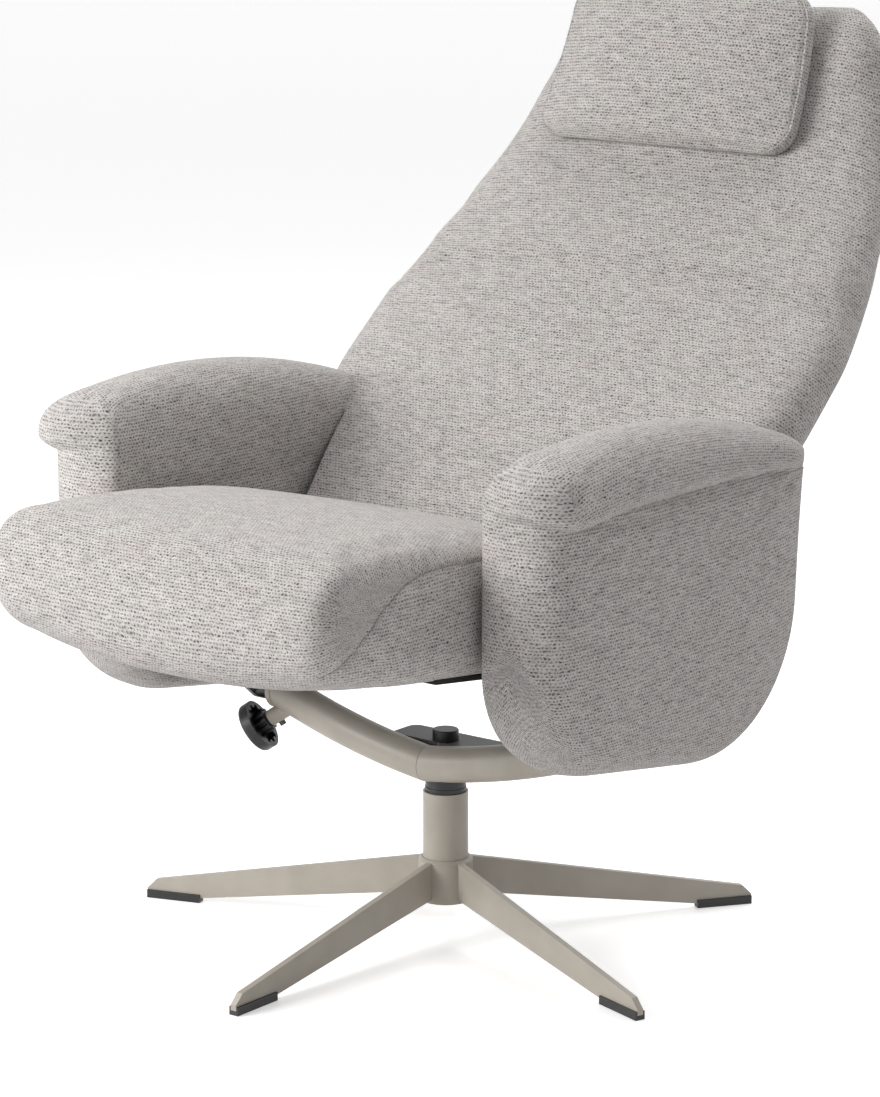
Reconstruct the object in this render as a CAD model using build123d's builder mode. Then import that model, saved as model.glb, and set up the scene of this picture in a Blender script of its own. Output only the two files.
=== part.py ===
"""A swivel recliner on a five-blade star base, upholstered in a woven cover.

Millimetres. The origin is the floor point under the swivel axis, +Z is up, the sitter faces -Y
and +X is the sitter's left. The chair is drawn leaning back, which is joint value zero.
"""
import os
from math import asin, atan2, cos, degrees, hypot, pi, radians, sin, sqrt

from build123d import *

os.makedirs("parts", exist_ok=True)

# Clearances
FIT = 0.05          # radial room of a turning or pushed-in fit
SEAM = 0.3          # room between neighbouring pieces that only lie against each other

# Star base: a hub with blades that taper to the floor, each in a plastic glide
BASE_RADIUS = 345.0
LEG_COUNT = 5
LEG_THICK = 7.0
LEG_ROOT_LOW = 41.0
LEG_ROOT_HIGH = 81.0
LEG_TIP_HIGH = 21.0
LEG_BEVEL = 10.0
LEG_WELD = 1.5
GLIDE_LENGTH = 62.0
GLIDE_FLOOR = 5.0
GLIDE_LIP = 4.0
GLIDE_WALL = 2.0
HUB_DIAMETER = 58.0
HUB_LOW = 36.5
HUB_HIGH = 83.0
HUB_STEP = 3.0

# Column and swivel bearing
COLUMN_DIAMETER = 48.0
COLUMN_WALL = 3.5
COLUMN_HIGH = 155.0
SPINDLE_DIAMETER = 25.0
BUSH_LENGTH = 26.0
BUSH_FLANGE = 3.0
WASHER_THICK = 2.0
WASHER_DIAMETER = 44.0
COLLAR_DIAMETER = 43.0
COLLAR_HIGH = 171.0
CLIP_DIAMETER = 34.0
CLIP_THICK = 2.0

# Bent cross tube: two halves that meet in a mitre in front of the spindle
TUBE_DIAMETER = 38.0
TUBE_WALL = 3.0
TUBE_LOW = 191.0            # centre height at the mitre
TUBE_BEND = 900.0
TUBE_RISE = 7.0             # degrees at the mitre
MITRE_GAP = 0.5

# Pressed top plate with its cap
PLATE_WIDTH = 130.0
PLATE_BACK = 30.0
PLATE_THICK = 3.0
PLATE_FLANGE = 26.0
PLATE_CORNER = 10.0
CAP_DIAMETER = 28.0
CAP_HEIGHT = 12.0

# Tilt pivots at the tube's ends
END_PLATE_DIAMETER = 40.0
END_PLATE_THICK = 6.0
PIVOT_DIAMETER = 16.0
PIVOT_SPIGOT = 2.0
PIVOT_BUSH_DIAMETER = 27.0
PIVOT_BUSH_LENGTH = 20.0
PIVOT_WALL = 5.5            # of the side plate round the pivot

# Tension knob, on a stub that points out, forwards and down on the sitter's right
KNOB_DIRECTION = (-0.757, -0.33, -0.563)
STUB_DIAMETER = 18.0
STUB_BORE = 8.0
STUB_DROP = 20.0            # below the tilt axis
STUB_SETBACK = 8.0
STUB_LENGTH = 22.0
STUB_SCREW_AT = 13.2        # from the root of the stub
KNOB_DIAMETER = 56.0
KNOB_THICK = 13.0
KNOB_ROUND = 4.0
KNOB_DISH = 8.0             # hollow on the side of the stub
KNOB_RIM = 4.5
KNOB_LOBES = 12             # inside the rim, for the fingers
KNOB_LOBE_RADIUS = 3.5
COLLAR_LENGTH = 10.0
COLLAR_RADIUS = 10.0
COLLAR_LOBES = 8
COLLAR_LOBE_RADIUS = 3.0
KNOB_SCREW_LENGTH = 34.0
SET_SCREW_DIAMETER = 7.0
SET_SCREW_LENGTH = 9.0

# Back: a straight stretch from the hinge, then one arc to the top, measured on its front face
BACK_RECLINE = 48.0         # degrees from upright
BACK_FOOT = (30.0, 440.0)   # front face at the hinge, (y, z)
BACK_STRAIGHT = 420.0
BACK_BEND = 430.0
BACK_TOP_RECLINE = 12.0
BACK_THICK = 108.0
BACK_EDGE = 30.0
BACK_CROWN = 14.0
BACK_SIDE_ROOM = 4.0
SHOULDER_CLEAR = 196.0      # radius round the hinge kept free for the arms
# Half widths of the back by distance up its front face from the hinge
BACK_HALF_WIDTHS = (
    (0, 245), (100, 275), (200, 300), (300, 288), (400, 270), (470, 253), (530, 235), (590, 216),
)
# Rounding of the top end as (distance below the top, loss of half width, loss of depth on each face)
BACK_TOP_HALF = 198.0
BACK_TOP_ROUND = ((52, 0, 0), (26, 9, 3), (9, 24, 11), (0, 48, 26))

# Seat cushion, drawn as side profiles across its width
SEAT_HALF_WIDTH = 226.0
SEAT_SLOPE = 7.5            # degrees, front up
NOSE_RADIUS = 60.0
NOSE_CENTRE = (-410.0, 443.0)
SEAT_CROWN = 18.0           # over the chord from the rear edge to the nose
SEAT_CROWN_AT = -180.0
SEAT_REAR_LOW = 20.0
SEAT_REAR_TOP = 437.0
SEAT_EDGE = 20.0
CREASE_GAP = 3.5
CREASE_LOW = 225.0          # degrees round the hinge where the crease ends

# Seat underframe
SEAT_PANEL_FRONT = 140.0
SEAT_PANEL_LENGTH = 270.0
SEAT_PANEL_WIDTH = 410.0
SEAT_PANEL_THICK = 5.0
SEAT_FRAME_LENGTH = 250.0
SEAT_FRAME_WIDTH = 400.0
SEAT_RAIL = 28.0
SEAT_RAIL_HEIGHT = 30.0
WEBBING_COUNT = 5
WEBBING_WIDTH = 34.0
WEBBING_THICK = 2.5

# Side plates that join the pivots, the seat, the arms and the back
SIDE_PLATE_THICK = 6.0
HINGE_DIAMETER = 14.0
BOLT_DIAMETER = 8.0
BOLT_HEAD = 15.0
ARM_BOLT_DEPTH = 16.0
ARM_BOLTS = ((-32.0, 325.0), (-130.0, 365.0), (25.0, 385.0))
BOLT_HEAD_THICK = 2.5
SIDE_PLATE_EDGE = 16.0

# Arms: padded panels with a roll on top
ARM_WIDTH = 98.0
ARM_FRONT = -259.0
ARM_FRONT_BEND = 118.0
ARM_FRONT_BEND_HEIGHT = 372.0
ARM_REAR_BEND = 162.0
ARM_REAR_BEND_CENTRE = (31.0, 389.0)
ARM_REAR_TOP = 203.0
ARM_TOP_CORNER = 6.0
# Across the panel as (distance from the inner face, inset of the outline)
ARM_STATIONS = ((0.0, 20.0), (12.0, 6.0), (44.0, 0.0), (72.0, 4.5), (89.0, 16.0), (ARM_WIDTH, 36.0))
ROLL_WIDTH = 117.0
ROLL_NOSE = -272.0
ROLL_TAIL = 197.0
ROLL_SEAM_HEIGHT = 531.0    # at the nose
ROLL_SEAM_FALL = 0.036
ROLL_TUCK = 3.0
# Heights of the roll's top over its seam, at the nose, at the crest (over the nose's seam) and at the tail
ROLL_NOSE_TOP = 39.0
ROLL_CREST = 59.0
ROLL_CREST_AT = -85.0
ROLL_TAIL_TOP = 36.0
ROLL_END = 55.0
ROLL_SOFT = 28.0
CORE_THICK = 18.0
CORE_CENTRE = (-40.0, 360.0)
CORE_SIZE = (250.0, 104.0)
CORE_CORNER = 15.0
STRIP_INSET = 24.0
STRIP_WIDTH = 10.0
STRIP_THICK = 2.0
STRIP_TOP = 322.0

# Back insides
BACK_POCKET_HALF = 156.0
BACK_POCKET_FRONT = 40.0
BACK_POCKET_START = 20.0
BACK_POCKET_END = 635.0
BACK_FRAME_HALF = 148.0
BACK_FRAME_FRONT = 44.0
BACK_FRAME_THICK = 22.0
BACK_RAIL = 30.0
BACK_PANEL_THICK = 10.0
LUG_THICK = 6.0
LUG_RADIUS = 17.0
LUG_REACH = 110.0
LUG_TOP_RADIUS = 10.0

# Headrest pillow, which slides round the arc of the back
PILLOW_THICK = 42.0
PILLOW_LENGTH = 172.0
PILLOW_LOW = 517.0          # along the back's front face
PILLOW_HALF_LOW = 168.0
PILLOW_HALF_HIGH = 150.0
PILLOW_EDGE = 14.0
PILLOW_GAP = 0.8
# Up the pillow as (share of its length, share of its thickness)
PILLOW_STATIONS = (
    (0.0, 0.25), (0.04, 0.6), (0.15, 0.92), (0.45, 1.0), (0.8, 0.95), (0.95, 0.62), (1.0, 0.25),
)
PILLOW_RIM = 0.55           # height of the sewn rim as a share of the thickness
PILLOW_BELLY = 0.3          # height at which the border is widest, likewise
GRIP_WIDTH = 200.0
GRIP_HEIGHT = 40.0
GRIP_THICK = 1.6


def finish(name, builder):
    """Label a finished piece and write it."""
    builder.part.label = name
    export_step(builder.part, f"parts/{name}.step")


def tangent_ring(circles):
    """Tangent ring round circles (u, v, r) listed anticlockwise: arc start, middle, end and next start."""
    touches = []
    for (u0, v0, r0), (u1, v1, r1) in zip(circles, circles[1:] + circles[:1]):
        length = hypot(u1 - u0, v1 - v0)
        du, dv = (u1 - u0) / length, (v1 - v0) / length
        along = (r0 - r1) / length
        across = sqrt(1 - along ** 2)
        touches.append((du * along + dv * across, dv * along - du * across))
    corners = []
    for i, (u, v, r) in enumerate(circles):
        (au, av), (bu, bv) = touches[i - 1], touches[i]
        start = atan2(av, au)
        middle = start + (atan2(bv, bu) - start) % (2 * pi) / 2
        u1, v1, r1 = circles[(i + 1) % len(circles)]
        corners.append((
            (u + r * au, v + r * av),
            (u + r * cos(middle), v + r * sin(middle)),
            (u + r * bu, v + r * bv),
            (u1 + r1 * bu, v1 + r1 * bv),
        ))
    return corners


def ring_line(circles):
    """Draw the tangent ring of circles in the line that is being built."""
    for start, middle, end, following in tangent_ring(circles):
        ThreePointArc(start, middle, end)
        Line(end, following)


def round_point(centre, radius, angle):
    """Point on a circle at an angle in degrees."""
    return (centre[0] + radius * cos(radians(angle)), centre[1] + radius * sin(radians(angle)))


# Star base
glide_start = BASE_RADIUS - GLIDE_LENGTH
hub_radius = HUB_DIAMETER / 2
leg_root = hub_radius - LEG_WELD
leg_angles = [-90 + i * 360 / LEG_COUNT for i in range(LEG_COUNT)]
leg_planes = [
    Plane((0, 0, 0), x_dir=Vector(1, 0, 0).rotate(Axis.Z, a), z_dir=Vector(0, -1, 0).rotate(Axis.Z, a))
    for a in leg_angles
]
with BuildPart() as star_base:
    with BuildSketch(Plane.XY.offset(HUB_LOW)):
        Circle(hub_radius)
    extrude(amount=HUB_HIGH - HUB_LOW)
    chamfer(star_base.faces().sort_by(Axis.Z)[-1].edges(), HUB_STEP)
    for leg_plane in leg_planes:
        with BuildSketch(leg_plane):
            with BuildLine():
                Polyline(
                    (leg_root, LEG_ROOT_LOW),
                    (glide_start, GLIDE_FLOOR),
                    (BASE_RADIUS, GLIDE_FLOOR),
                    (BASE_RADIUS, LEG_TIP_HIGH - LEG_BEVEL),
                    (BASE_RADIUS - LEG_BEVEL, LEG_TIP_HIGH),
                    (leg_root, LEG_ROOT_HIGH),
                    close=True,
                )
            make_face()
        extrude(amount=LEG_THICK / 2, both=True)
    with BuildSketch(Plane.XY.offset(HUB_LOW)):
        Circle(COLUMN_DIAMETER / 2 + FIT)
    extrude(amount=HUB_HIGH - HUB_LOW, mode=Mode.SUBTRACT)
finish("star_base", star_base)

for number, leg_plane in enumerate(leg_planes, 1):
    with BuildPart() as glide:
        glide_width = LEG_THICK + 2 * GLIDE_WALL
        with BuildSketch(leg_plane):
            with Locations((glide_start, 0)):
                Rectangle(GLIDE_LENGTH, GLIDE_FLOOR + GLIDE_LIP, align=(Align.MIN, Align.MIN))
        extrude(amount=glide_width / 2, both=True)
        with BuildSketch(leg_plane):
            with Locations((glide_start, GLIDE_FLOOR)):
                Rectangle(GLIDE_LENGTH, GLIDE_LIP, align=(Align.MIN, Align.MIN))
        extrude(amount=LEG_THICK / 2 + FIT, both=True, mode=Mode.SUBTRACT)
    finish(f"glide_{number}", glide)

# Column and swivel bearing
bore_radius = COLUMN_DIAMETER / 2 - COLUMN_WALL
spindle_radius = SPINDLE_DIAMETER / 2
with BuildPart() as column_tube:
    with BuildSketch(Plane.XY.offset(HUB_LOW)):
        Circle(COLUMN_DIAMETER / 2)
        Circle(bore_radius, mode=Mode.SUBTRACT)
    extrude(amount=COLUMN_HIGH - HUB_LOW)
finish("column_tube", column_tube)

clip_low = HUB_LOW + 2 * CLIP_THICK
lower_bush_low = clip_low + CLIP_THICK + SEAM
with BuildPart() as lower_bush:
    with BuildSketch(Plane.XY.offset(lower_bush_low)):
        Circle(bore_radius - FIT)
        Circle(spindle_radius + FIT, mode=Mode.SUBTRACT)
    extrude(amount=BUSH_LENGTH)
finish("lower_bush", lower_bush)

with BuildPart() as upper_bush:
    with BuildSketch(Plane.XY.offset(COLUMN_HIGH - BUSH_LENGTH)):
        Circle(bore_radius - FIT)
        Circle(spindle_radius + FIT, mode=Mode.SUBTRACT)
    extrude(amount=BUSH_LENGTH)
    with BuildSketch(Plane.XY.offset(COLUMN_HIGH)):
        Circle(WASHER_DIAMETER / 2)
        Circle(spindle_radius + FIT, mode=Mode.SUBTRACT)
    extrude(amount=BUSH_FLANGE)
finish("upper_bush", upper_bush)

washer_low = COLUMN_HIGH + BUSH_FLANGE
with BuildPart() as thrust_washer:
    with BuildSketch(Plane.XY.offset(washer_low)):
        Circle(WASHER_DIAMETER / 2)
        Circle(spindle_radius + FIT, mode=Mode.SUBTRACT)
    extrude(amount=WASHER_THICK)
finish("thrust_washer", thrust_washer)

# Swivel spindle with its collar and retaining clip
plate_high = TUBE_LOW + TUBE_DIAMETER / 2
plate_low = plate_high - PLATE_THICK
spindle_low = clip_low - CLIP_THICK
with BuildPart() as spindle:
    with BuildSketch(Plane.XY.offset(spindle_low)):
        Circle(spindle_radius)
    extrude(amount=plate_high - spindle_low)
    with BuildSketch(Plane.XY.offset(clip_low)):
        Circle(spindle_radius)
        Circle(spindle_radius - CLIP_THICK, mode=Mode.SUBTRACT)
    extrude(amount=CLIP_THICK, mode=Mode.SUBTRACT)
    chamfer(spindle.faces().sort_by(Axis.Z)[0].edges(), CLIP_THICK / 2)
finish("spindle", spindle)

with BuildPart() as spindle_clip:
    with BuildSketch(Plane.XY.offset(clip_low)):
        Circle(CLIP_DIAMETER / 2)
        Circle(spindle_radius - CLIP_THICK + FIT, mode=Mode.SUBTRACT)
        with Locations((0, CLIP_DIAMETER / 2)):
            Rectangle(spindle_radius, CLIP_DIAMETER, mode=Mode.SUBTRACT)
    extrude(amount=CLIP_THICK)
finish("spindle_clip", spindle_clip)

collar_low = washer_low + WASHER_THICK + SEAM
with BuildPart() as swivel_collar:
    with BuildSketch(Plane.XY.offset(collar_low)):
        Circle(COLLAR_DIAMETER / 2)
        Circle(spindle_radius + FIT, mode=Mode.SUBTRACT)
    extrude(amount=COLLAR_HIGH - collar_low)
    chamfer(swivel_collar.faces().sort_by(Axis.Z)[-1].edges().sort_by(SortBy.RADIUS)[-1], WASHER_THICK)
finish("swivel_collar", swivel_collar)

# Places shared by the frame, the seat and the arms, from the inside outwards
side_plate_x = SEAT_HALF_WIDTH + SEAM
tube_end = side_plate_x - SEAM - PIVOT_BUSH_LENGTH - END_PLATE_THICK
side_plate_out = side_plate_x + SIDE_PLATE_THICK
arm_in = side_plate_out + SEAM
hands = ((1, "left"), (-1, "right"))

# Bent cross tube
tube_radius = TUBE_DIAMETER / 2
tube_y = -(spindle_radius + tube_radius + FIT)
bend_centre = (-TUBE_BEND * sin(radians(TUBE_RISE)), TUBE_LOW + TUBE_BEND * cos(radians(TUBE_RISE)))
pivot_z = bend_centre[1] - sqrt(TUBE_BEND ** 2 - (tube_end - bend_centre[0]) ** 2)
overrun = degrees(tube_radius / TUBE_BEND)
arc_start = -90 + TUBE_RISE - overrun
arc_end = -90 + degrees(asin((tube_end - bend_centre[0]) / TUBE_BEND)) + overrun
for side, hand in hands:
    tube_plane = Plane(origin=(0, tube_y, 0), x_dir=(side, 0, 0), z_dir=(0, -side, 0))
    with BuildPart() as frame_tube:
        with BuildLine(tube_plane) as tube_path:
            CenterArc(bend_centre, TUBE_BEND, arc_start, arc_end - arc_start)
        with BuildSketch(Plane(origin=tube_path.line @ 0, z_dir=tube_path.line % 0)):
            Circle(tube_radius)
            Circle(tube_radius - TUBE_WALL, mode=Mode.SUBTRACT)
        sweep()
        split(bisect_by=Plane(origin=(side * MITRE_GAP / 2, 0, 0), z_dir=(side, 0, 0)))
        split(bisect_by=Plane(origin=(side * tube_end, 0, 0), z_dir=(-side, 0, 0)))
    finish(f"frame_tube_{hand}", frame_tube)

# Top plate with its down-turned flange, and the cap over the spindle
plate_front = tube_y + tube_radius + FIT
with BuildPart() as top_plate:
    with BuildSketch(Plane.XY.offset(plate_low)) as plate_face:
        with Locations((0, plate_front)):
            Rectangle(PLATE_WIDTH, PLATE_BACK - plate_front, align=(Align.CENTER, Align.MIN))
        fillet(plate_face.vertices().group_by(Axis.Y)[-1], PLATE_CORNER)
        Circle(spindle_radius + FIT, mode=Mode.SUBTRACT)
    extrude(amount=PLATE_THICK)
    with BuildSketch(Plane.XY.offset(plate_low)):
        with Locations((0, plate_front)):
            Rectangle(PLATE_WIDTH, PLATE_THICK, align=(Align.CENTER, Align.MIN))
        Circle(spindle_radius + FIT, mode=Mode.SUBTRACT)
    extrude(amount=-PLATE_FLANGE)
finish("top_plate", top_plate)

with BuildPart() as spindle_cap:
    with BuildSketch(Plane.XY.offset(plate_high)):
        Circle(CAP_DIAMETER / 2)
    extrude(amount=CAP_HEIGHT)
    fillet(spindle_cap.faces().sort_by(Axis.Z)[-1].edges(), CAP_HEIGHT / 8)
finish("spindle_cap", spindle_cap)

# Tilt pivots
pivot_radius = PIVOT_DIAMETER / 2
spigot_radius = pivot_radius + PIVOT_SPIGOT
for side, hand in hands:
    end_plane = Plane(origin=(side * tube_end, tube_y, pivot_z), x_dir=(0, side, 0), z_dir=(side, 0, 0))
    with BuildPart() as end_plate:
        with BuildSketch(end_plane):
            Circle(END_PLATE_DIAMETER / 2)
            Circle(spigot_radius + FIT, mode=Mode.SUBTRACT)
        extrude(amount=END_PLATE_THICK)
    finish(f"end_plate_{hand}", end_plate)

    with BuildPart() as pivot_bush:
        with BuildSketch(end_plane):
            Circle(spigot_radius)
        extrude(amount=END_PLATE_THICK)
        with BuildSketch(end_plane.offset(END_PLATE_THICK)):
            Circle(PIVOT_BUSH_DIAMETER / 2)
        extrude(amount=PIVOT_BUSH_LENGTH)
        with BuildSketch(end_plane):
            Circle(pivot_radius + FIT)
        extrude(amount=END_PLATE_THICK + PIVOT_BUSH_LENGTH, mode=Mode.SUBTRACT)
    finish(f"pivot_bush_{hand}", pivot_bush)

    with BuildPart() as pivot_pin:
        with BuildSketch(end_plane):
            Circle(pivot_radius)
        extrude(amount=side_plate_out - tube_end)
    finish(f"pivot_pin_{hand}", pivot_pin)

# Tension knob on its stub
stub_plane = Plane(origin=(STUB_SETBACK - tube_end, tube_y, pivot_z - STUB_DROP), z_dir=KNOB_DIRECTION)
down = Vector(0, 0, -1)
screw_out = (down - stub_plane.z_dir * down.dot(stub_plane.z_dir)).normalized()
set_screw_plane = Plane(origin=stub_plane.offset(STUB_SCREW_AT).origin, z_dir=screw_out)
knob_side = Plane(origin=(0, tube_y, 0), x_dir=(-1, 0, 0), z_dir=(0, 1, 0))
with BuildPart() as knob_stub:
    with BuildSketch(stub_plane):
        Circle(STUB_DIAMETER / 2)
    extrude(amount=STUB_LENGTH)
    with BuildSketch(stub_plane):
        Circle(STUB_BORE / 2 + FIT)
    extrude(amount=STUB_LENGTH, mode=Mode.SUBTRACT)
    with BuildSketch(set_screw_plane):
        Circle(SET_SCREW_DIAMETER / 2 + FIT)
    extrude(amount=STUB_DIAMETER, mode=Mode.SUBTRACT)
    with BuildLine(knob_side) as cut_path:
        CenterArc(bend_centre, TUBE_BEND, arc_start, arc_end - arc_start)
    with BuildSketch(Plane(origin=cut_path.line @ 0, z_dir=cut_path.line % 0)):
        Circle(tube_radius + FIT)
    sweep(mode=Mode.SUBTRACT)
    with BuildSketch(Plane(origin=(-tube_end, tube_y, pivot_z), z_dir=(-1, 0, 0))):
        Circle(END_PLATE_DIAMETER / 2 + FIT)
    extrude(amount=END_PLATE_THICK, mode=Mode.SUBTRACT)
    with BuildSketch(Plane(origin=(-tube_end, tube_y, pivot_z), z_dir=(-1, 0, 0))):
        Circle(PIVOT_BUSH_DIAMETER / 2 + FIT)
    extrude(amount=END_PLATE_THICK + PIVOT_BUSH_LENGTH, mode=Mode.SUBTRACT)
finish("knob_stub", knob_stub)

with BuildPart() as set_screw:
    with BuildSketch(set_screw_plane.offset(STUB_BORE / 2 + SEAM)):
        Circle(SET_SCREW_DIAMETER / 2)
    extrude(amount=SET_SCREW_LENGTH)
finish("set_screw", set_screw)

knob_start = STUB_LENGTH + 5 * SEAM
disc_start = knob_start + COLLAR_LENGTH
with BuildPart() as tension_knob:
    with BuildSketch(stub_plane.offset(disc_start + KNOB_DISH)):
        Circle(KNOB_DIAMETER / 2)
    extrude(amount=KNOB_THICK - KNOB_DISH)
    fillet(tension_knob.faces().sort_by(Axis(stub_plane.origin, stub_plane.z_dir))[-1].edges(), KNOB_ROUND)
    with BuildSketch(stub_plane.offset(disc_start)):
        Circle(KNOB_DIAMETER / 2)
        Circle(KNOB_DIAMETER / 2 - KNOB_RIM, mode=Mode.SUBTRACT)
        with PolarLocations(KNOB_DIAMETER / 2 - KNOB_RIM, KNOB_LOBES):
            Circle(KNOB_LOBE_RADIUS)
    extrude(amount=KNOB_DISH)
    with BuildSketch(stub_plane.offset(knob_start)):
        Circle(COLLAR_RADIUS)
        with PolarLocations(COLLAR_RADIUS, COLLAR_LOBES):
            Circle(COLLAR_LOBE_RADIUS)
    extrude(amount=COLLAR_LENGTH + KNOB_DISH)
    with BuildSketch(stub_plane.offset(knob_start)):
        Circle(STUB_BORE / 2 + FIT)
    extrude(amount=COLLAR_LENGTH, mode=Mode.SUBTRACT)
finish("tension_knob", tension_knob)

with BuildPart() as knob_screw:
    with BuildSketch(stub_plane.offset(disc_start)):
        Circle(STUB_BORE / 2)
    extrude(amount=-KNOB_SCREW_LENGTH + COLLAR_LENGTH)
finish("knob_screw", knob_screw)

# Back: places along its front face
lean = radians(BACK_RECLINE)
bend_start = (BACK_FOOT[0] + BACK_STRAIGHT * sin(lean), BACK_FOOT[1] + BACK_STRAIGHT * cos(lean))
bend_middle = (bend_start[0] - BACK_BEND * cos(lean), bend_start[1] + BACK_BEND * sin(lean))
back_length = BACK_STRAIGHT + BACK_BEND * radians(BACK_RECLINE - BACK_TOP_RECLINE)
hinge = (BACK_FOOT[0] + BACK_THICK / 2 * cos(lean), BACK_FOOT[1] - BACK_THICK / 2 * sin(lean))
back_half_between = SEAT_HALF_WIDTH - BACK_SIDE_ROOM


def back_lean(along):
    """Lean of the front face from upright, in radians, at a distance up from the hinge."""
    return lean - max(0.0, along - BACK_STRAIGHT) / BACK_BEND


def back_point(along, depth):
    """The (y, z) point at a distance up the front face and a depth behind it."""
    if along <= BACK_STRAIGHT:
        return (
            BACK_FOOT[0] + along * sin(lean) + depth * cos(lean),
            BACK_FOOT[1] + along * cos(lean) - depth * sin(lean),
        )
    turn = back_lean(along)
    return (
        bend_middle[0] + (BACK_BEND + depth) * cos(turn),
        bend_middle[1] - (BACK_BEND + depth) * sin(turn),
    )


def back_plane(along):
    """Plane across the back: x to the sitter's left, y into its depth."""
    turn = back_lean(along)
    return Plane(origin=(0, *back_point(along, 0)), x_dir=(1, 0, 0), z_dir=(0, sin(turn), cos(turn)))


def back_run(start, end, depth):
    """Edges that follow the back's front face at one depth, a line and then an arc."""
    stops = [start] + [s for s in (BACK_STRAIGHT,) if start < s < end] + [end]
    edges = []
    for a, b in zip(stops, stops[1:]):
        first, middle, last = (back_point(s, depth) for s in (a, (a + b) / 2, b))
        if b <= BACK_STRAIGHT:
            edges.append(Edge.make_line(first, last))
        else:
            edges.append(Edge.make_three_point_arc(first, middle, last))
    return edges


def back_band(start, end, front, rear):
    """Closed outline of a layer of the back between two depths."""
    ends = [Edge.make_line(back_point(s, front), back_point(s, rear)) for s in (start, end)]
    return back_run(start, end, front) + back_run(start, end, rear) + ends


# Side plates
seat_lean = radians(SEAT_SLOPE)
floor_y = NOSE_CENTRE[0] - NOSE_RADIUS * sin(seat_lean)
floor_z = NOSE_CENTRE[1] - NOSE_RADIUS * cos(seat_lean)
seat_floor = Plane(origin=(0, floor_y, floor_z), x_dir=(1, 0, 0), z_dir=(0, sin(seat_lean), cos(seat_lean)))
seat_frame_front = SEAT_PANEL_FRONT + (SEAT_PANEL_LENGTH - SEAT_FRAME_LENGTH) / 2
seat_bolts_at = []
for back_along in (seat_frame_front + 3 * SEAT_RAIL, seat_frame_front + SEAT_FRAME_LENGTH - SEAT_RAIL):
    up = SEAM + SEAT_RAIL_HEIGHT / 2
    seat_bolts_at.append((
        floor_y + back_along * cos(seat_lean) + up * sin(seat_lean),
        floor_z - back_along * sin(seat_lean) + up * cos(seat_lean),
    ))
bolt_radius = BOLT_DIAMETER / 2
hinge_radius = HINGE_DIAMETER / 2
plate_corners = [
    (tube_y, pivot_z, pivot_radius + PIVOT_WALL),
    (hinge[0], hinge[1], SIDE_PLATE_EDGE + BOLT_DIAMETER / 2),
    (seat_bolts_at[0][0], seat_bolts_at[0][1], SIDE_PLATE_EDGE),
]
hinge_pin_in = BACK_FRAME_HALF - SEAM
for side, hand in hands:
    inner = Plane(origin=(side * side_plate_x, 0, 0), x_dir=(0, 1, 0), z_dir=(1, 0, 0))
    outer = Plane(origin=(side * side_plate_out, 0, 0), x_dir=(0, 1, 0), z_dir=(1, 0, 0))
    with BuildPart() as side_plate:
        with BuildSketch(inner):
            with BuildLine():
                ring_line(plate_corners)
            make_face()
            with Locations((tube_y, pivot_z)):
                Circle(pivot_radius + FIT, mode=Mode.SUBTRACT)
            with Locations(hinge):
                Circle(hinge_radius + FIT, mode=Mode.SUBTRACT)
            with Locations(*ARM_BOLTS, *seat_bolts_at):
                Circle(bolt_radius + FIT, mode=Mode.SUBTRACT)
        extrude(amount=side * SIDE_PLATE_THICK)
        with BuildSketch(inner):
            with Locations(*ARM_BOLTS):
                Circle(BOLT_HEAD / 2 + FIT)
        extrude(amount=side * (BOLT_HEAD_THICK + FIT), mode=Mode.SUBTRACT)
        with BuildSketch(outer):
            with Locations(*seat_bolts_at):
                Circle(BOLT_HEAD / 2 + FIT)
        extrude(amount=-side * (BOLT_HEAD_THICK + FIT), mode=Mode.SUBTRACT)
    finish(f"side_plate_{hand}", side_plate)

    with BuildPart() as hinge_pin:
        with BuildSketch(outer):
            with Locations(hinge):
                Circle(hinge_radius)
        extrude(amount=-side * (side_plate_out - hinge_pin_in))
    finish(f"hinge_pin_{hand}", hinge_pin)

    with BuildPart() as arm_bolts:
        with BuildSketch(inner):
            with Locations(*ARM_BOLTS):
                Circle(BOLT_HEAD / 2)
        extrude(amount=side * BOLT_HEAD_THICK)
        with BuildSketch(inner):
            with Locations(*ARM_BOLTS):
                Circle(bolt_radius)
        extrude(amount=side * (SIDE_PLATE_THICK + SEAM + ARM_BOLT_DEPTH))
    finish(f"arm_bolts_{hand}", arm_bolts)

    with BuildPart() as seat_bolts:
        with BuildSketch(outer):
            with Locations(*seat_bolts_at):
                Circle(BOLT_HEAD / 2)
        extrude(amount=-side * BOLT_HEAD_THICK)
        with BuildSketch(outer):
            with Locations(*seat_bolts_at):
                Circle(bolt_radius)
        extrude(amount=-side * (side_plate_out - SEAT_FRAME_WIDTH / 2 + SEAT_RAIL / 2))
    finish(f"seat_bolts_{hand}", seat_bolts)

# Seat cushion
crease_radius = BACK_THICK / 2 + CREASE_GAP
pocket_width = SEAT_FRAME_WIDTH + 2 * SEAM
pocket_length = SEAT_FRAME_LENGTH + 2 * SEAM
pocket_height = SEAT_RAIL_HEIGHT + WEBBING_THICK + 3 * SEAM
rear_angle = 180 - degrees(asin((SEAT_REAR_TOP - hinge[1]) / crease_radius))
rear_top = round_point(hinge, crease_radius, rear_angle)
rear_middle = round_point(hinge, crease_radius, (CREASE_LOW + rear_angle) / 2)
rear_low = round_point(hinge, crease_radius, CREASE_LOW)
foot = (SEAT_REAR_LOW, floor_z - (SEAT_REAR_LOW - floor_y) * sin(seat_lean) / cos(seat_lean))
nose_end = 270 - SEAT_SLOPE
nose_high, nose_tip, nose_low = (round_point(NOSE_CENTRE, NOSE_RADIUS, a) for a in (90, 180, nose_end))
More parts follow.
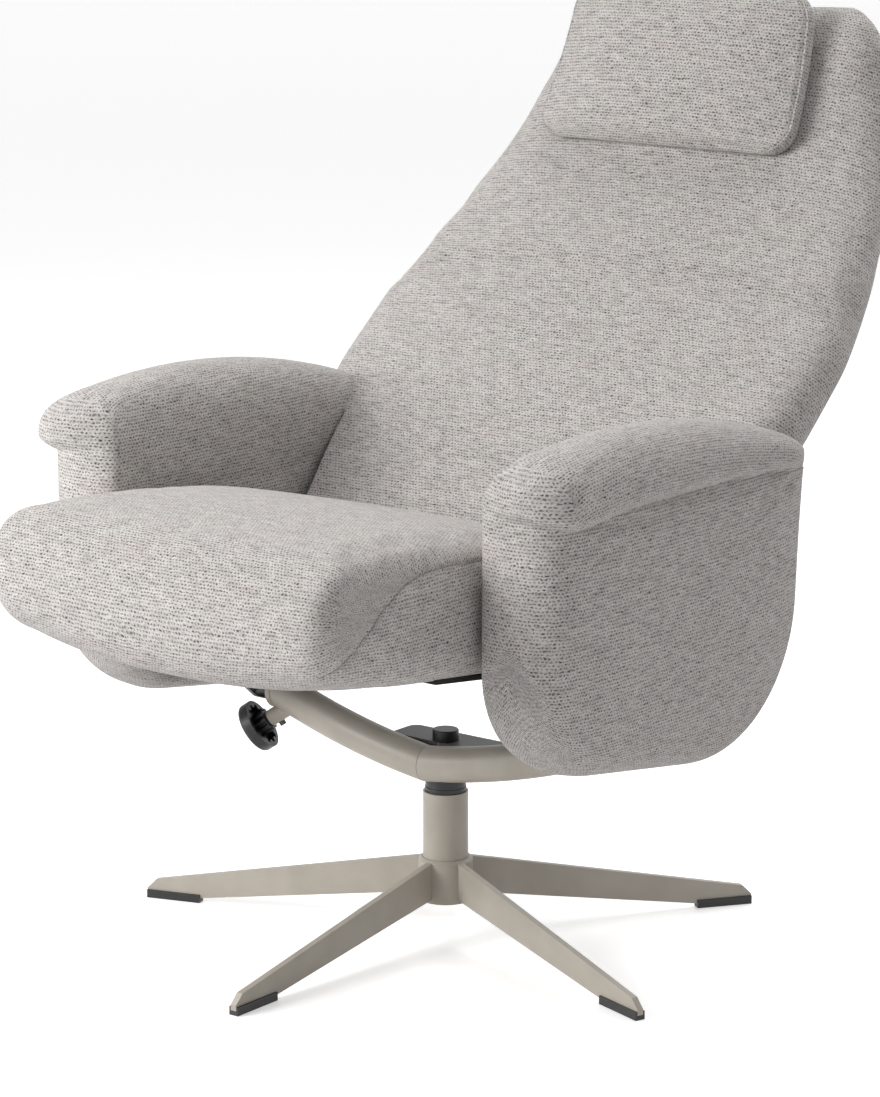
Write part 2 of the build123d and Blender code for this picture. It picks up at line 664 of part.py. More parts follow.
nose_upper, nose_lower = (round_point(NOSE_CENTRE, NOSE_RADIUS, a) for a in (135, (180 + nose_end) / 2))
chord_rise = (nose_high[1] - rear_top[1]) * (SEAT_CROWN_AT - rear_top[0]) / (nose_high[0] - rear_top[0])
seat_crest = (SEAT_CROWN_AT, rear_top[1] + chord_rise + SEAT_CROWN)
with BuildPart() as seat_cushion:
    with BuildSketch(Plane.YZ):
        with BuildLine():
            ThreePointArc(rear_top, seat_crest, nose_high)
            ThreePointArc(nose_high, nose_upper, nose_tip)
            ThreePointArc(nose_tip, nose_lower, nose_low)
            Line(nose_low, foot)
            Line(foot, rear_low)
            ThreePointArc(rear_low, rear_middle, rear_top)
        make_face()
    extrude(amount=SEAT_HALF_WIDTH, both=True)
    sides = seat_cushion.faces().filter_by(Axis.X)
    fillet([e for e in sides.edges() if e.center().Y < rear_middle[0] - SEAT_EDGE], SEAT_EDGE)
    with BuildSketch(seat_floor):
        with Locations((0, seat_frame_front - SEAM)):
            Rectangle(pocket_width, pocket_length, align=(Align.CENTER, Align.MIN))
    extrude(amount=pocket_height, mode=Mode.SUBTRACT)
    with BuildSketch(Plane.YZ):
        with Locations(*seat_bolts_at):
            Circle(bolt_radius + SEAM)
    extrude(amount=SEAT_HALF_WIDTH, both=True, mode=Mode.SUBTRACT)
finish("seat_cushion", seat_cushion)

# Seat underframe
with BuildPart() as seat_frame:
    with BuildSketch(seat_floor.offset(SEAM)):
        with Locations((0, seat_frame_front)):
            Rectangle(SEAT_FRAME_WIDTH, SEAT_FRAME_LENGTH, align=(Align.CENTER, Align.MIN))
        with Locations((0, seat_frame_front + SEAT_RAIL)):
            Rectangle(
                SEAT_FRAME_WIDTH - 2 * SEAT_RAIL,
                SEAT_FRAME_LENGTH - 2 * SEAT_RAIL,
                align=(Align.CENTER, Align.MIN),
                mode=Mode.SUBTRACT,
            )
    extrude(amount=SEAT_RAIL_HEIGHT)
    with BuildSketch(Plane.YZ):
        with Locations(*seat_bolts_at):
            Circle(bolt_radius + FIT)
    extrude(amount=SEAT_HALF_WIDTH, both=True, mode=Mode.SUBTRACT)
finish("seat_frame", seat_frame)

webbing_pitch = (SEAT_FRAME_LENGTH - WEBBING_WIDTH) / (WEBBING_COUNT - 1)
with BuildPart() as seat_webbing:
    with BuildSketch(seat_floor.offset(SEAM + SEAT_RAIL_HEIGHT + SEAM)):
        with Locations(*((0, seat_frame_front + i * webbing_pitch) for i in range(WEBBING_COUNT))):
            Rectangle(SEAT_FRAME_WIDTH - SEAT_RAIL, WEBBING_WIDTH, align=(Align.CENTER, Align.MIN))
    extrude(amount=WEBBING_THICK)
finish("seat_webbing", seat_webbing)

with BuildPart() as seat_panel:
    with BuildSketch(seat_floor):
        with Locations((0, SEAT_PANEL_FRONT)):
            Rectangle(SEAT_PANEL_WIDTH, SEAT_PANEL_LENGTH, align=(Align.CENTER, Align.MIN))
    extrude(amount=-SEAT_PANEL_THICK)
finish("seat_panel", seat_panel)


# Arms
def roll_seam(place):
    """Height of the seam under the roll, which falls slightly to the rear."""
    return ROLL_SEAM_HEIGHT - ROLL_SEAM_FALL * (place - ROLL_NOSE)


def arm_outline(inset):
    """Circles whose tangent ring is the arm panel's side outline, drawn in all round but on top."""
    corner = ARM_TOP_CORNER
    below_seam = SEAM + corner * sqrt(1 + ROLL_SEAM_FALL ** 2)
    front = ARM_FRONT + corner + inset
    rear = ARM_REAR_TOP - corner - inset
    return [
        (ARM_FRONT + ARM_FRONT_BEND, ARM_FRONT_BEND_HEIGHT, ARM_FRONT_BEND - inset),
        (*ARM_REAR_BEND_CENTRE, ARM_REAR_BEND - inset),
        (rear, roll_seam(rear) - below_seam, corner),
        (front, roll_seam(front) - below_seam, corner),
    ]


roll_low = roll_seam(ROLL_TAIL)
nose_top = ROLL_SEAM_HEIGHT + ROLL_NOSE_TOP
crest_top = ROLL_SEAM_HEIGHT + ROLL_CREST
tail_top = roll_low + ROLL_TAIL_TOP
for side, hand in hands:
    with BuildPart() as arm_pad:
        for outwards, inset in ARM_STATIONS:
            with BuildSketch(Plane.YZ.offset(side * (arm_in + outwards))):
                with BuildLine():
                    ring_line(arm_outline(inset))
                make_face()
        loft()
        with BuildSketch(Plane.YZ.offset(side * arm_in)):
            with Locations(CORE_CENTRE):
                RectangleRounded(CORE_SIZE[0] + 2 * SEAM, CORE_SIZE[1] + 2 * SEAM, CORE_CORNER)
        extrude(amount=side * (CORE_THICK + SEAM), mode=Mode.SUBTRACT)
        with BuildSketch(Plane.YZ.offset(side * arm_in)):
            with BuildLine():
                ring_line(arm_outline(STRIP_INSET - SEAM))
            make_face()
            with BuildLine():
                ring_line(arm_outline(STRIP_INSET + STRIP_WIDTH + SEAM))
            make_face(mode=Mode.SUBTRACT)
            with Locations((ARM_FRONT, STRIP_TOP + SEAM)):
                Rectangle(2 * BASE_RADIUS, STRIP_TOP, align=(Align.MIN, Align.MAX), mode=Mode.INTERSECT)
        extrude(amount=side * STRIP_THICK, mode=Mode.SUBTRACT)
    finish(f"arm_pad_{hand}", arm_pad)

    with BuildPart() as arm_core:
        with BuildSketch(Plane.YZ.offset(side * arm_in)):
            with Locations(CORE_CENTRE):
                RectangleRounded(*CORE_SIZE, CORE_CORNER)
            with Locations(*ARM_BOLTS):
                Circle(bolt_radius + FIT, mode=Mode.SUBTRACT)
        extrude(amount=side * CORE_THICK)
    finish(f"arm_core_{hand}", arm_core)

    with BuildPart() as arm_strip:
        with BuildSketch(Plane.YZ.offset(side * arm_in)):
            with BuildLine():
                ring_line(arm_outline(STRIP_INSET))
            make_face()
            with BuildLine():
                ring_line(arm_outline(STRIP_INSET + STRIP_WIDTH))
            make_face(mode=Mode.SUBTRACT)
            with Locations((ARM_FRONT, STRIP_TOP)):
                Rectangle(2 * BASE_RADIUS, STRIP_TOP, align=(Align.MIN, Align.MAX), mode=Mode.INTERSECT)
        extrude(amount=side * STRIP_THICK)
    finish(f"arm_strip_{hand}", arm_strip)

    with BuildPart() as arm_roll:
        with BuildSketch(Plane.XY.offset(roll_low)):
            with Locations((side * (arm_in + ROLL_WIDTH / 2), (ROLL_NOSE + ROLL_TAIL) / 2)):
                RectangleRounded(ROLL_WIDTH, ROLL_TAIL - ROLL_NOSE, ROLL_END)
        extrude(amount=2 * (crest_top - roll_low))
        with BuildSketch(Plane.YZ):
            with BuildLine():
                Line((ROLL_TAIL, roll_low), (ROLL_NOSE, ROLL_SEAM_HEIGHT))
                Line((ROLL_NOSE, ROLL_SEAM_HEIGHT), (ROLL_NOSE, nose_top))
                ThreePointArc((ROLL_NOSE, nose_top), (ROLL_CREST_AT, crest_top), (ROLL_TAIL, tail_top))
                Line((ROLL_TAIL, tail_top), (ROLL_TAIL, roll_low))
            make_face()
        extrude(amount=2 * SEAT_HALF_WIDTH, both=True, mode=Mode.INTERSECT)
        fillet(arm_roll.faces().sort_by(Axis.Z)[-1].edges(), ROLL_SOFT)
        fillet(arm_roll.faces().sort_by(Axis.Z)[0].edges(), ROLL_TUCK)
    finish(f"arm_roll_{hand}", arm_roll)

# Back cushion
top_sections = [(back_length - below, BACK_TOP_HALF - loss, drawn) for below, loss, drawn in BACK_TOP_ROUND]
lug_foot = (*hinge, LUG_RADIUS)
lug_head = (*back_point(LUG_REACH, BACK_FRAME_FRONT + BACK_FRAME_THICK / 2), LUG_TOP_RADIUS)
with BuildPart() as back_cushion:
    for along, half, drawn_in in [(s, w, 0) for s, w in BACK_HALF_WIDTHS] + top_sections:
        crown = BACK_CROWN * min(1.0, 0.2 + along / BACK_STRAIGHT)
        rim = half - BACK_EDGE
        front = drawn_in
        rear = BACK_THICK - drawn_in
        with BuildSketch(back_plane(along)):
            with BuildLine():
                ThreePointArc((-rim, front + crown), (0, front), (rim, front + crown))
                ThreePointArc((rim, front + crown), (half, (front + crown + rear) / 2), (rim, rear))
                Line((rim, rear), (-rim, rear))
                ThreePointArc((-rim, rear), (-half, (front + crown + rear) / 2), (-rim, front + crown))
            make_face()
    loft()
    with BuildSketch(Plane.YZ):
        with Locations(hinge):
            Circle(BACK_THICK / 2)
    extrude(amount=back_half_between - BACK_EDGE, both=True)
    for side in (1, -1):
        with BuildSketch(Plane.YZ.offset(side * back_half_between)):
            with Locations(hinge):
                Circle(SHOULDER_CLEAR)
        extrude(amount=side * BACK_THICK, mode=Mode.SUBTRACT)
    with BuildSketch(Plane.YZ):
        with BuildLine():
            add(back_band(BACK_POCKET_START, BACK_POCKET_END, BACK_POCKET_FRONT, 2 * BACK_THICK))
        make_face()
    extrude(amount=BACK_POCKET_HALF, both=True, mode=Mode.SUBTRACT)
    with BuildSketch(Plane.YZ):
        with Locations(hinge):
            Circle(hinge_radius + 2 * SEAM)
    extrude(amount=SEAT_HALF_WIDTH, both=True, mode=Mode.SUBTRACT)
    for side in (1, -1):
        with BuildSketch(Plane.YZ.offset(side * BACK_FRAME_HALF)):
            with BuildLine():
                ring_line([(u, v, r + SEAM) for u, v, r in (lug_head, lug_foot)])
            make_face()
        extrude(amount=side * (BACK_POCKET_HALF - BACK_FRAME_HALF), mode=Mode.SUBTRACT)
finish("back_cushion", back_cushion)

# Back insides
frame_rear = BACK_FRAME_FRONT + BACK_FRAME_THICK
frame_start = BACK_POCKET_START + SEAM
frame_end = BACK_POCKET_END - SEAM
with BuildPart() as back_frame:
    with BuildSketch(Plane.YZ):
        with BuildLine():
            add(back_band(frame_start, frame_end, BACK_FRAME_FRONT, frame_rear))
        make_face()
    extrude(amount=BACK_FRAME_HALF, both=True)
    with BuildSketch(Plane.YZ):
        with BuildLine():
            add(back_band(frame_start + BACK_RAIL, frame_end - BACK_RAIL, 0, BACK_THICK))
        make_face()
    extrude(amount=BACK_FRAME_HALF - BACK_RAIL, both=True, mode=Mode.SUBTRACT)
finish("back_frame", back_frame)

back_pitch = (BACK_STRAIGHT - frame_start - BACK_RAIL - WEBBING_WIDTH) / (WEBBING_COUNT - 1)
strap_front = BACK_FRAME_FRONT - SEAM - WEBBING_THICK
with BuildPart() as back_webbing:
    for i in range(WEBBING_COUNT):
        low = frame_start + BACK_RAIL / 2 + i * back_pitch
        with BuildSketch(Plane.YZ):
            with BuildLine():
                add(back_band(low, low + WEBBING_WIDTH, strap_front, strap_front + WEBBING_THICK))
            make_face()
        extrude(amount=BACK_FRAME_HALF - BACK_RAIL / 4, both=True)
finish("back_webbing", back_webbing)

with BuildPart() as back_panel:
    with BuildSketch(Plane.YZ):
        with BuildLine():
            add(back_band(frame_start, frame_end, BACK_THICK - BACK_PANEL_THICK, BACK_THICK))
        make_face()
    extrude(amount=BACK_POCKET_HALF - SEAM, both=True)
finish("back_panel", back_panel)

for side, hand in hands:
    with BuildPart() as back_lug:
        with BuildSketch(Plane.YZ.offset(side * (BACK_FRAME_HALF + SEAM))):
            with BuildLine():
                ring_line([lug_head, lug_foot])
            make_face()
            with Locations(hinge):
                Circle(hinge_radius + FIT, mode=Mode.SUBTRACT)
        extrude(amount=side * LUG_THICK)
    finish(f"back_lug_{hand}", back_lug)

# Headrest pillow
with BuildPart() as headrest_pillow:
    for share, swell in PILLOW_STATIONS:
        along = PILLOW_LOW + share * PILLOW_LENGTH
        half = PILLOW_HALF_LOW + (PILLOW_HALF_HIGH - PILLOW_HALF_LOW) * share - PILLOW_EDGE * (1 - swell)
        thick = PILLOW_THICK * swell
        rear = -PILLOW_GAP
        rim = rear - PILLOW_RIM * thick
        belly = rear - PILLOW_BELLY * thick
        sewn = half - PILLOW_EDGE
        flat = half - PILLOW_EDGE / 3
        with BuildSketch(back_plane(along)):
            with BuildLine():
                Line((-flat, rear), (flat, rear))
                ThreePointArc((flat, rear), (half, belly), (sewn, rim))
                ThreePointArc((sewn, rim), (0, rear - thick), (-sewn, rim))
                ThreePointArc((-sewn, rim), (-half, belly), (-flat, rear))
            make_face()
    loft()
    with BuildSketch(Plane.YZ):
        grip_low = PILLOW_LOW + (PILLOW_LENGTH - GRIP_HEIGHT) / 2
        with BuildLine():
            add(back_band(grip_low - SEAM, grip_low + GRIP_HEIGHT + SEAM, -PILLOW_GAP - GRIP_THICK - SEAM, 0))
        make_face()
    extrude(amount=GRIP_WIDTH / 2 + SEAM, both=True, mode=Mode.SUBTRACT)
finish("headrest_pillow", headrest_pillow)

with BuildPart() as headrest_grip:
    with BuildSketch(Plane.YZ):
        with BuildLine():
            add(back_band(grip_low, grip_low + GRIP_HEIGHT, -PILLOW_GAP - GRIP_THICK, -PILLOW_GAP))
        make_face()
    extrude(amount=GRIP_WIDTH / 2, both=True)
finish("headrest_grip", headrest_grip)
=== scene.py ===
# %% [markdown]
# # An upholstered swivel recliner
# The steel base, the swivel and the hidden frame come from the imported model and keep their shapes.
# This lesson dresses them: paint, moulded plastic and plain steel for the hard pieces, and sewn covers
# over foam for the seat, the back, the arms and the head pillow. Lengths are metres, +Z is up, the
# sitter faces -Y and +X is the sitter's left.

import bmesh
import bpy
import numpy as np
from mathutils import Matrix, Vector


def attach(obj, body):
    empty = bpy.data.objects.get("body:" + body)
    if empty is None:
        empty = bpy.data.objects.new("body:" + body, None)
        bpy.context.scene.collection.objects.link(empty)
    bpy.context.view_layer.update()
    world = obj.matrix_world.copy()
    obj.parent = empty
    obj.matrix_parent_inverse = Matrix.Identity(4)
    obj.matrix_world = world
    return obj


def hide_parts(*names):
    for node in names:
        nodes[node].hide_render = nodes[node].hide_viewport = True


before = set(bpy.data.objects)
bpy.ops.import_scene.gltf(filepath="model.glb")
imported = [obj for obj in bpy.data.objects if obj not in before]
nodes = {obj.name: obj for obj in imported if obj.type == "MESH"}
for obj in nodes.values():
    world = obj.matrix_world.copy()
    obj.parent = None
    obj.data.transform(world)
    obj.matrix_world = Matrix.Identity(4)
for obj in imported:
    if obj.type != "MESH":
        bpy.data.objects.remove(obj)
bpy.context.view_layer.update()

# %% [markdown]
# ## Camera
# The picture was taken with a long lens from the front, on the sitter's left and 0.8 m above the seat.
# The focal length is known in pixels of a frame 1097 high, so a sensor 36 mm high gives the lens in millimetres.

# %% Camera at the picture's viewing angle
SENSOR_HEIGHT = 36.0
FRAME_PIXELS = 1097
FOCAL_PIXELS = 3943
CAMERA_PLACE = (2.459, -3.165, 1.3233)
CAMERA_PITCH = np.radians(12.75)
CAMERA_TURN = np.radians(37.93)

camera_data = bpy.data.cameras.new("camera")
camera_data.sensor_fit = "AUTO"
camera_data.sensor_width = SENSOR_HEIGHT
camera_data.sensor_height = SENSOR_HEIGHT
camera_data.lens = FOCAL_PIXELS / FRAME_PIXELS * SENSOR_HEIGHT
camera = bpy.data.objects.new("camera", camera_data)
camera.location = CAMERA_PLACE
camera.rotation_euler = (np.pi / 2 - CAMERA_PITCH, 0, CAMERA_TURN)
bpy.context.scene.collection.objects.link(camera)
bpy.context.scene.camera = camera
print("lens", round(camera_data.lens, 2), "mm")

# %% [markdown]
# ## Helpers for materials
# Colours are written as sRGB hex values, as a paint chart gives them, and the renderer wants linear light.
# A material is a small graph, so one function adds a node, sets it and links it.

# %% Colour and node helpers


def linear(chart):
    """sRGB hex to linear RGBA: c / 12.92 in the dark part, ((c + 0.055) / 1.055) ** 2.4 above it."""
    c = np.array([int(chart[i:i + 2], 16) for i in (1, 3, 5)]) / 255
    return (*np.where(c <= 0.04045, c / 12.92, ((c + 0.055) / 1.055) ** 2.4), 1.0)


def add(tree, kind, inputs=None, **settings):
    """Add a node of a kind, set its properties, and give each named input a value or a link."""
    made = tree.nodes.new("ShaderNode" + kind)
    for key, value in settings.items():
        setattr(made, key, value)
    for key, value in (inputs or {}).items():
        if isinstance(value, bpy.types.NodeSocket):
            tree.links.new(value, made.inputs[key])
        else:
            made.inputs[key].default_value = value
    return made


def start_material(name):
    """An empty material with its Principled shader already joined to the output."""
    material = bpy.data.materials.new(name)
    material.use_nodes = True
    tree = material.node_tree
    tree.nodes.clear()
    shader = add(tree, "BsdfPrincipled")
    add(tree, "OutputMaterial", {"Surface": shader.outputs[0]})
    return material, tree, shader


def blend(tree, factor, low, high, first, last):
    """Colour that goes from first to last, each a hex value or a socket, as the factor goes from low to high."""
    share = add(tree, "MapRange", {0: factor, 1: low, 2: high}).outputs[0]
    first, last = (linear(end) if isinstance(end, str) else end for end in (first, last))
    return add(tree, "Mix", {0: share, 6: first, 7: last}, data_type="RGBA").outputs[2]


print("half-bright on the chart is", round(linear("#808080")[0], 3), "in linear light")

# %% [markdown]
# ## The cover cloth
# The cover is a heavy structured weave: soft, slightly fuzzy yarn with a small pit wherever it dives under,
# darkened with painted shade.
# Pits stand in rows, each row half a stitch along from the next. The yarn is spun from light and darker fibres,
# so every row has its own tone and faint pink and green tints drift through the cloth. Each piece carries its own
# unrolled coordinates in metres, so the rows go round the forms as they do on the real chair.

# %% Woven melange upholstery
STITCH = 0.0041
ROW = 0.0035
# How far a pit reaches, in shares of a stitch and of a row
PIT_LONG, PIT_TALL = 0.34, 0.28
# The yarn's course bends once in 4.8 mm, by at most 3.5 mm along the row and 1.9 mm across it
BENDS_PER_METRE = 210.0
WANDER = (0.0070, 0.0038, 0.0)
# The tone changes along a row every 4.5 stitches. Fibre bundles are drawn 3 mm long and 0.8 mm thick, because
# single fibres are too fine to show. Tints drift over patches of about 60 by 25 mm.
STREAKS_PER_STITCH = (0.22, 1.37, 0.0)
FIBRES_PER_METRE = (330.0, 1250.0, 1.0)
TINTS_PER_METRE = (17.0, 40.0, 1.0)
# A sewn line has a dark core of painted shade with a soft edge, and the cloth beside it is tucked in
SEAM_CORE, SEAM_EDGE = 0.0004, 0.0017
TUCK_REACH, TUCK_DEPTH = 0.006, 0.0016
SEAM_SHADE = 0.42
YARN_RELIEF = 0.0011


# The last two colours are painted shade: in the weave's pits and along the sewn lines.
def woven_cover(name, light="#c6c1be", dark="#938e8b", pit_shade="#241f1e", seam_groove_shade="#4a4443"):
    """Pit depth and the pits' painted shade fall off with sqrt((f_u / PIT_LONG) ** 2 + (f_v / PIT_TALL) ** 2), f
    from a stitch's middle.
    """
    material, tree, shader = start_material(name)
    place = add(tree, "UVMap", uv_map="weave").outputs[0]
    bend = add(tree, "TexNoise", {"Vector": place, "Scale": BENDS_PER_METRE, "Detail": 2.0}).outputs["Color"]
    push = add(tree, "VectorMath", {0: bend, 1: (0.5, 0.5, 0.5)}, operation="SUBTRACT").outputs[0]
    push = add(tree, "VectorMath", {0: push, 1: WANDER}, operation="MULTIPLY").outputs[0]
    wavy = add(tree, "VectorMath", {0: place, 1: push}, operation="ADD").outputs[0]
    cells = add(tree, "VectorMath", {0: wavy, 1: (1 / STITCH, 1 / ROW, 1.0)}, operation="MULTIPLY").outputs[0]
    cell = add(tree, "SeparateXYZ", {0: cells}).outputs
    row = add(tree, "Math", {0: cell[1]}, operation="FLOOR").outputs[0]
    odd = add(tree, "Math", {0: row, 1: 2.0}, operation="FLOORED_MODULO").outputs[0]
    along = add(tree, "Math", {0: odd, 1: 0.5, 2: cell[0]}, operation="MULTIPLY_ADD").outputs[0]
    stitch = add(tree, "Math", {0: along}, operation="FLOOR").outputs[0]

    inside = add(tree, "Math", {0: along}, operation="FRACT").outputs[0]
    across = add(tree, "Math", {0: cell[1]}, operation="FRACT").outputs[0]
    spot = add(tree, "CombineXYZ", {0: inside, 1: across}).outputs[0]
    spot = add(tree, "VectorMath", {0: spot, 1: (0.5, 0.5, 0.0)}, operation="SUBTRACT").outputs[0]
    reach = (1 / PIT_LONG, 1 / PIT_TALL, 0.0)
    spot = add(tree, "VectorMath", {0: spot, 1: reach}, operation="MULTIPLY").outputs[0]
    away = add(tree, "VectorMath", {0: spot}, operation="LENGTH").outputs["Value"]
    soft = {"interpolation_type": "SMOOTHSTEP"}
    hole = add(tree, "MapRange", {0: away, 1: 0.2, 2: 1.4, 3: 1.0, 4: 0.0}, **soft).outputs[0]
    own = add(tree, "CombineXYZ", {0: stitch, 1: row}).outputs[0]
    chance = add(tree, "TexWhiteNoise", {"Vector": own}, noise_dimensions="2D").outputs["Value"]
    deep = add(tree, "MapRange", {0: chance, 3: 0.50, 4: 1.0}).outputs[0]
    hole = add(tree, "Math", {0: hole, 1: deep}, operation="MULTIPLY").outputs[0]

    streaks = add(tree, "CombineXYZ", {0: along, 1: row}).outputs[0]
    streaks = add(tree, "VectorMath", {0: streaks, 1: STREAKS_PER_STITCH}, operation="MULTIPLY").outputs[0]
    streak = add(tree, "TexNoise", {"Vector": streaks, "Scale": 1.0, "Detail": 3.0}).outputs["Fac"]
    fibres = add(tree, "VectorMath", {0: wavy, 1: FIBRES_PER_METRE}, operation="MULTIPLY").outputs[0]
    fibre = add(tree, "TexNoise", {"Vector": fibres, "Scale": 1.0, "Detail": 3.0}).outputs["Fac"]
    tone = add(tree, "Math", {0: streak, 1: 0.75, 2: fibre}, operation="MULTIPLY_ADD").outputs[0]
    yarn = blend(tree, tone, 0.60, 1.0, dark, light)
    tints = add(tree, "VectorMath", {0: place, 1: TINTS_PER_METRE}, operation="MULTIPLY").outputs[0]
    tint = add(tree, "TexNoise", {"Vector": tints, "Scale": 1.0, "Detail": 2.0}).outputs["Fac"]
    tinted = blend(tree, tint, 0.50, 0.68, blend(tree, tint, 0.32, 0.50, "#fffdfd", "#ffffff"), "#fcfefc")
    yarn = add(tree, "Mix", {0: 1.0, 6: yarn, 7: tinted}, data_type="RGBA", blend_type="MULTIPLY").outputs[2]
    # The pits' dark colour is painted shade in the weave's hollows; the hollow itself is the bump below.
    colour = add(tree, "Mix", {0: hole, 6: yarn, 7: linear(pit_shade)}, data_type="RGBA").outputs[2]

    seam = add(tree, "Attribute", attribute_name="seam").outputs["Fac"]
    beside = add(tree, "Math", {0: seam}, operation="ABSOLUTE").outputs[0]
    # The sewn line's dark colour is painted shade in the seam's groove; the tuck beside it is a bump.
    line = add(tree, "MapRange", {0: beside, 1: SEAM_CORE, 2: SEAM_EDGE, 3: SEAM_SHADE, 4: 0.0}, **soft).outputs[0]
    tuck = add(tree, "MapRange", {0: beside, 1: 0.0, 2: TUCK_REACH, 3: -1.0, 4: 0.0}, **soft).outputs[0]
    colour = add(tree, "Mix", {0: line, 6: colour, 7: linear(seam_groove_shade)}, data_type="RGBA").outputs[2]
    tree.links.new(colour, shader.inputs["Base Color"])

    relief = add(tree, "Math", {0: hole, 1: -1.0, 2: fibre}, operation="MULTIPLY_ADD").outputs[0]
    woven = add(tree, "Bump", {"Height": relief, "Strength": 0.5, "Distance": YARN_RELIEF}).outputs[0]
    bump = add(tree, "Bump", {"Height": tuck, "Strength": 1.0, "Distance": TUCK_DEPTH, "Normal": woven})
    tree.links.new(bump.outputs[0], shader.inputs["Normal"])
    shader.inputs["Roughness"].default_value = 0.93
    shader.inputs["Specular IOR Level"].default_value = 0.2
    shader.inputs["Sheen Weight"].default_value = 0.10
    shader.inputs["Sheen Roughness"].default_value = 0.6
    return material


# Wool blend: matt, a little fuzzy, with a faint bloom of sheen at grazing angles
cover = woven_cover("woven_melange_wool_blend")
print("stitch", STITCH * 1000, "mm, row", ROW * 1000, "mm")

# %% [markdown]
# ## Paint, plastic, steel and the rest
# The base and the cross tube are steel with a baked powder coat, which has a faint orange-peel skin.
# Glides, bushes, cap and knob are black polyamide from a lightly eroded mould. The top plate has a matt
# dark paint. Pins and bolts are plain zinc-plated steel. Under the seat there is felted black lining, and
# the boards in the arms are black-stained plywood.

# %% Hard finishes


def skin(tree, shader, grain, depth, strength, detail=3.0):
    """A fine unevenness: noise with one bump per grain, as high as depth. Gives the place and the noise."""
    spot = add(tree, "TexCoord").outputs["Object"]
    noise = add(tree, "TexNoise", {"Vector": spot, "Scale": 1 / grain, "Detail": detail}).outputs["Fac"]
    bump = add(tree, "Bump", {"Height": noise, "Strength": strength, "Distance": depth})
    tree.links.new(bump.outputs[0], shader.inputs["Normal"])
    return spot, noise


def plain_finish(name, first, last, uneven, roughness, metallic=0.0):
    """Two close tones that follow the bumps of an uneven skin (grain, depth, strength and detail)."""
    material, tree, shader = start_material(name)
    noise = skin(tree, shader, *uneven)[1]
    tree.links.new(blend(tree, noise, 0.3, 0.7, first, last), shader.inputs["Base Color"])
    shader.inputs["Roughness"].default_value = roughness
    shader.inputs["Metallic"].default_value = metallic
    return material


def powder_coat():
    """Even warm grey with a soft sheen: orange peel of 1.1 mm, and clouds of about 45 mm in tone and gloss."""
    material, tree, shader = start_material("powder_coated_steel_warm_grey")
    spot = skin(tree, shader, 0.0011, 0.0002, 0.35)[0]
    cloud = add(tree, "TexNoise", {"Vector": spot, "Scale": 22.0, "Detail": 4.0}).outputs["Fac"]
    tree.links.new(blend(tree, cloud, 0.35, 0.65, "#a59e93", "#afa89d"), shader.inputs["Base Color"])
    rough = add(tree, "MapRange", {0: cloud, 1: 0.3, 2: 0.7, 3: 0.4, 4: 0.5}).outputs[0]
    tree.links.new(rough, shader.inputs["Roughness"])
    return material


def stained_plywood():
    """Dull black wood: grain lines 1.4 mm apart and 110 mm long, and plies of 8 mm."""
    material, tree, shader = start_material("black_stained_plywood")
    spot = skin(tree, shader, 0.004, 0.0002, 0.3)[0]
    grain = add(tree, "VectorMath", {0: spot, 1: (700.0, 9.0, 120.0)}, operation="MULTIPLY").outputs[0]
    ply = add(tree, "TexNoise", {"Vector": grain, "Scale": 1.0, "Detail": 3.0}).outputs["Fac"]
    tree.links.new(blend(tree, ply, 0.35, 0.65, "#2a2623", "#3a3531"), shader.inputs["Base Color"])
    shader.inputs["Roughness"].default_value = 0.6
    return material


FELT_SKIN = (0.0006, 0.6, 6.0)
finishes = {
    "satin_paint": powder_coat(),
    # Polyamide from an eroded mould: near black with fine grain and a dull highlight
    "black_plastic": plain_finish("moulded_polyamide_black", "#0f0f10", "#1c1c1d", (0.0009, 0.00015, 0.5), 0.42),
    # Matt paint on sheet steel: dark grey that lightens at grazing angles
    "dark_paint": plain_finish("matt_dark_grey_paint_on_steel", "#4a4948", "#5a5958", (0.0012, 0.0002, 0.4), 0.5),
    # Zinc plate: pale metal with cloudy reflections
    "steel": plain_finish("zinc_plated_steel", "#a9abae", "#c3c5c8", (0.0015, 0.0001, 0.3), 0.34, 1.0),
    # Lining, webbing and felt: fibrous, without a highlight
    "lining": plain_finish("smooth_grey_lining", "#8f8b88", "#a29e9b", (0.0012, *FELT_SKIN), 0.95),
    "webbing": plain_finish("elastic_webbing_black", "#1a1a1b", "#2b2b2c", (0.0016, *FELT_SKIN), 0.95),
    "board": stained_plywood(),
    "dust_panel": plain_finish("felted_black_lining", "#121213", "#242425", (0.0018, *FELT_SKIN), 0.95),
    "woven_fabric": cover,
}
print("finishes", len(finishes))

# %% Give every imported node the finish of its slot
for piece in nodes.values():
    for place in piece.material_slots:
        place.material = finishes[place.material.name.split(".")[0]]

# %% [markdown]
# ## How a cover is made
# Every cover is a closed skin: a stack of loops that close to a point or a line at both ends. The same loops
# carry the weave's coordinates, unrolled over the form, so that rows run on without a jump. The skin starts a
# few millimetres slim, a cloth simulation blows it up like foam does, and its seams and the faces that lie on
# wood are held.

# %% Skins with weave coordinates
# A distance that no seam's shading reaches
NO_SEAM = 1.0
# These panels are cut from other places of the cloth than the main bands
SIDE_CUT, PANEL_CUT, PILLOW_CUT = 0.7, 5.1, 3.3


def face_corners(grid):
    """The four corners of every face of a grid[i, j]."""
    return np.stack([grid[:-1, :-1], grid[:-1, 1:], grid[1:, 1:], grid[1:, :-1]], -2)


def face_middles(loops):
    """Middle and unit normal of every face of closed loops."""
    corner = face_corners(np.concatenate([loops, loops[:, :1]], 1))
    normal = np.cross(corner[..., 2, :] - corner[..., 0, :], corner[..., 3, :] - corner[..., 1, :])
    normal /= np.maximum(np.linalg.norm(normal, axis=-1), 1e-12)[..., None]
    return corner.mean(-2), normal


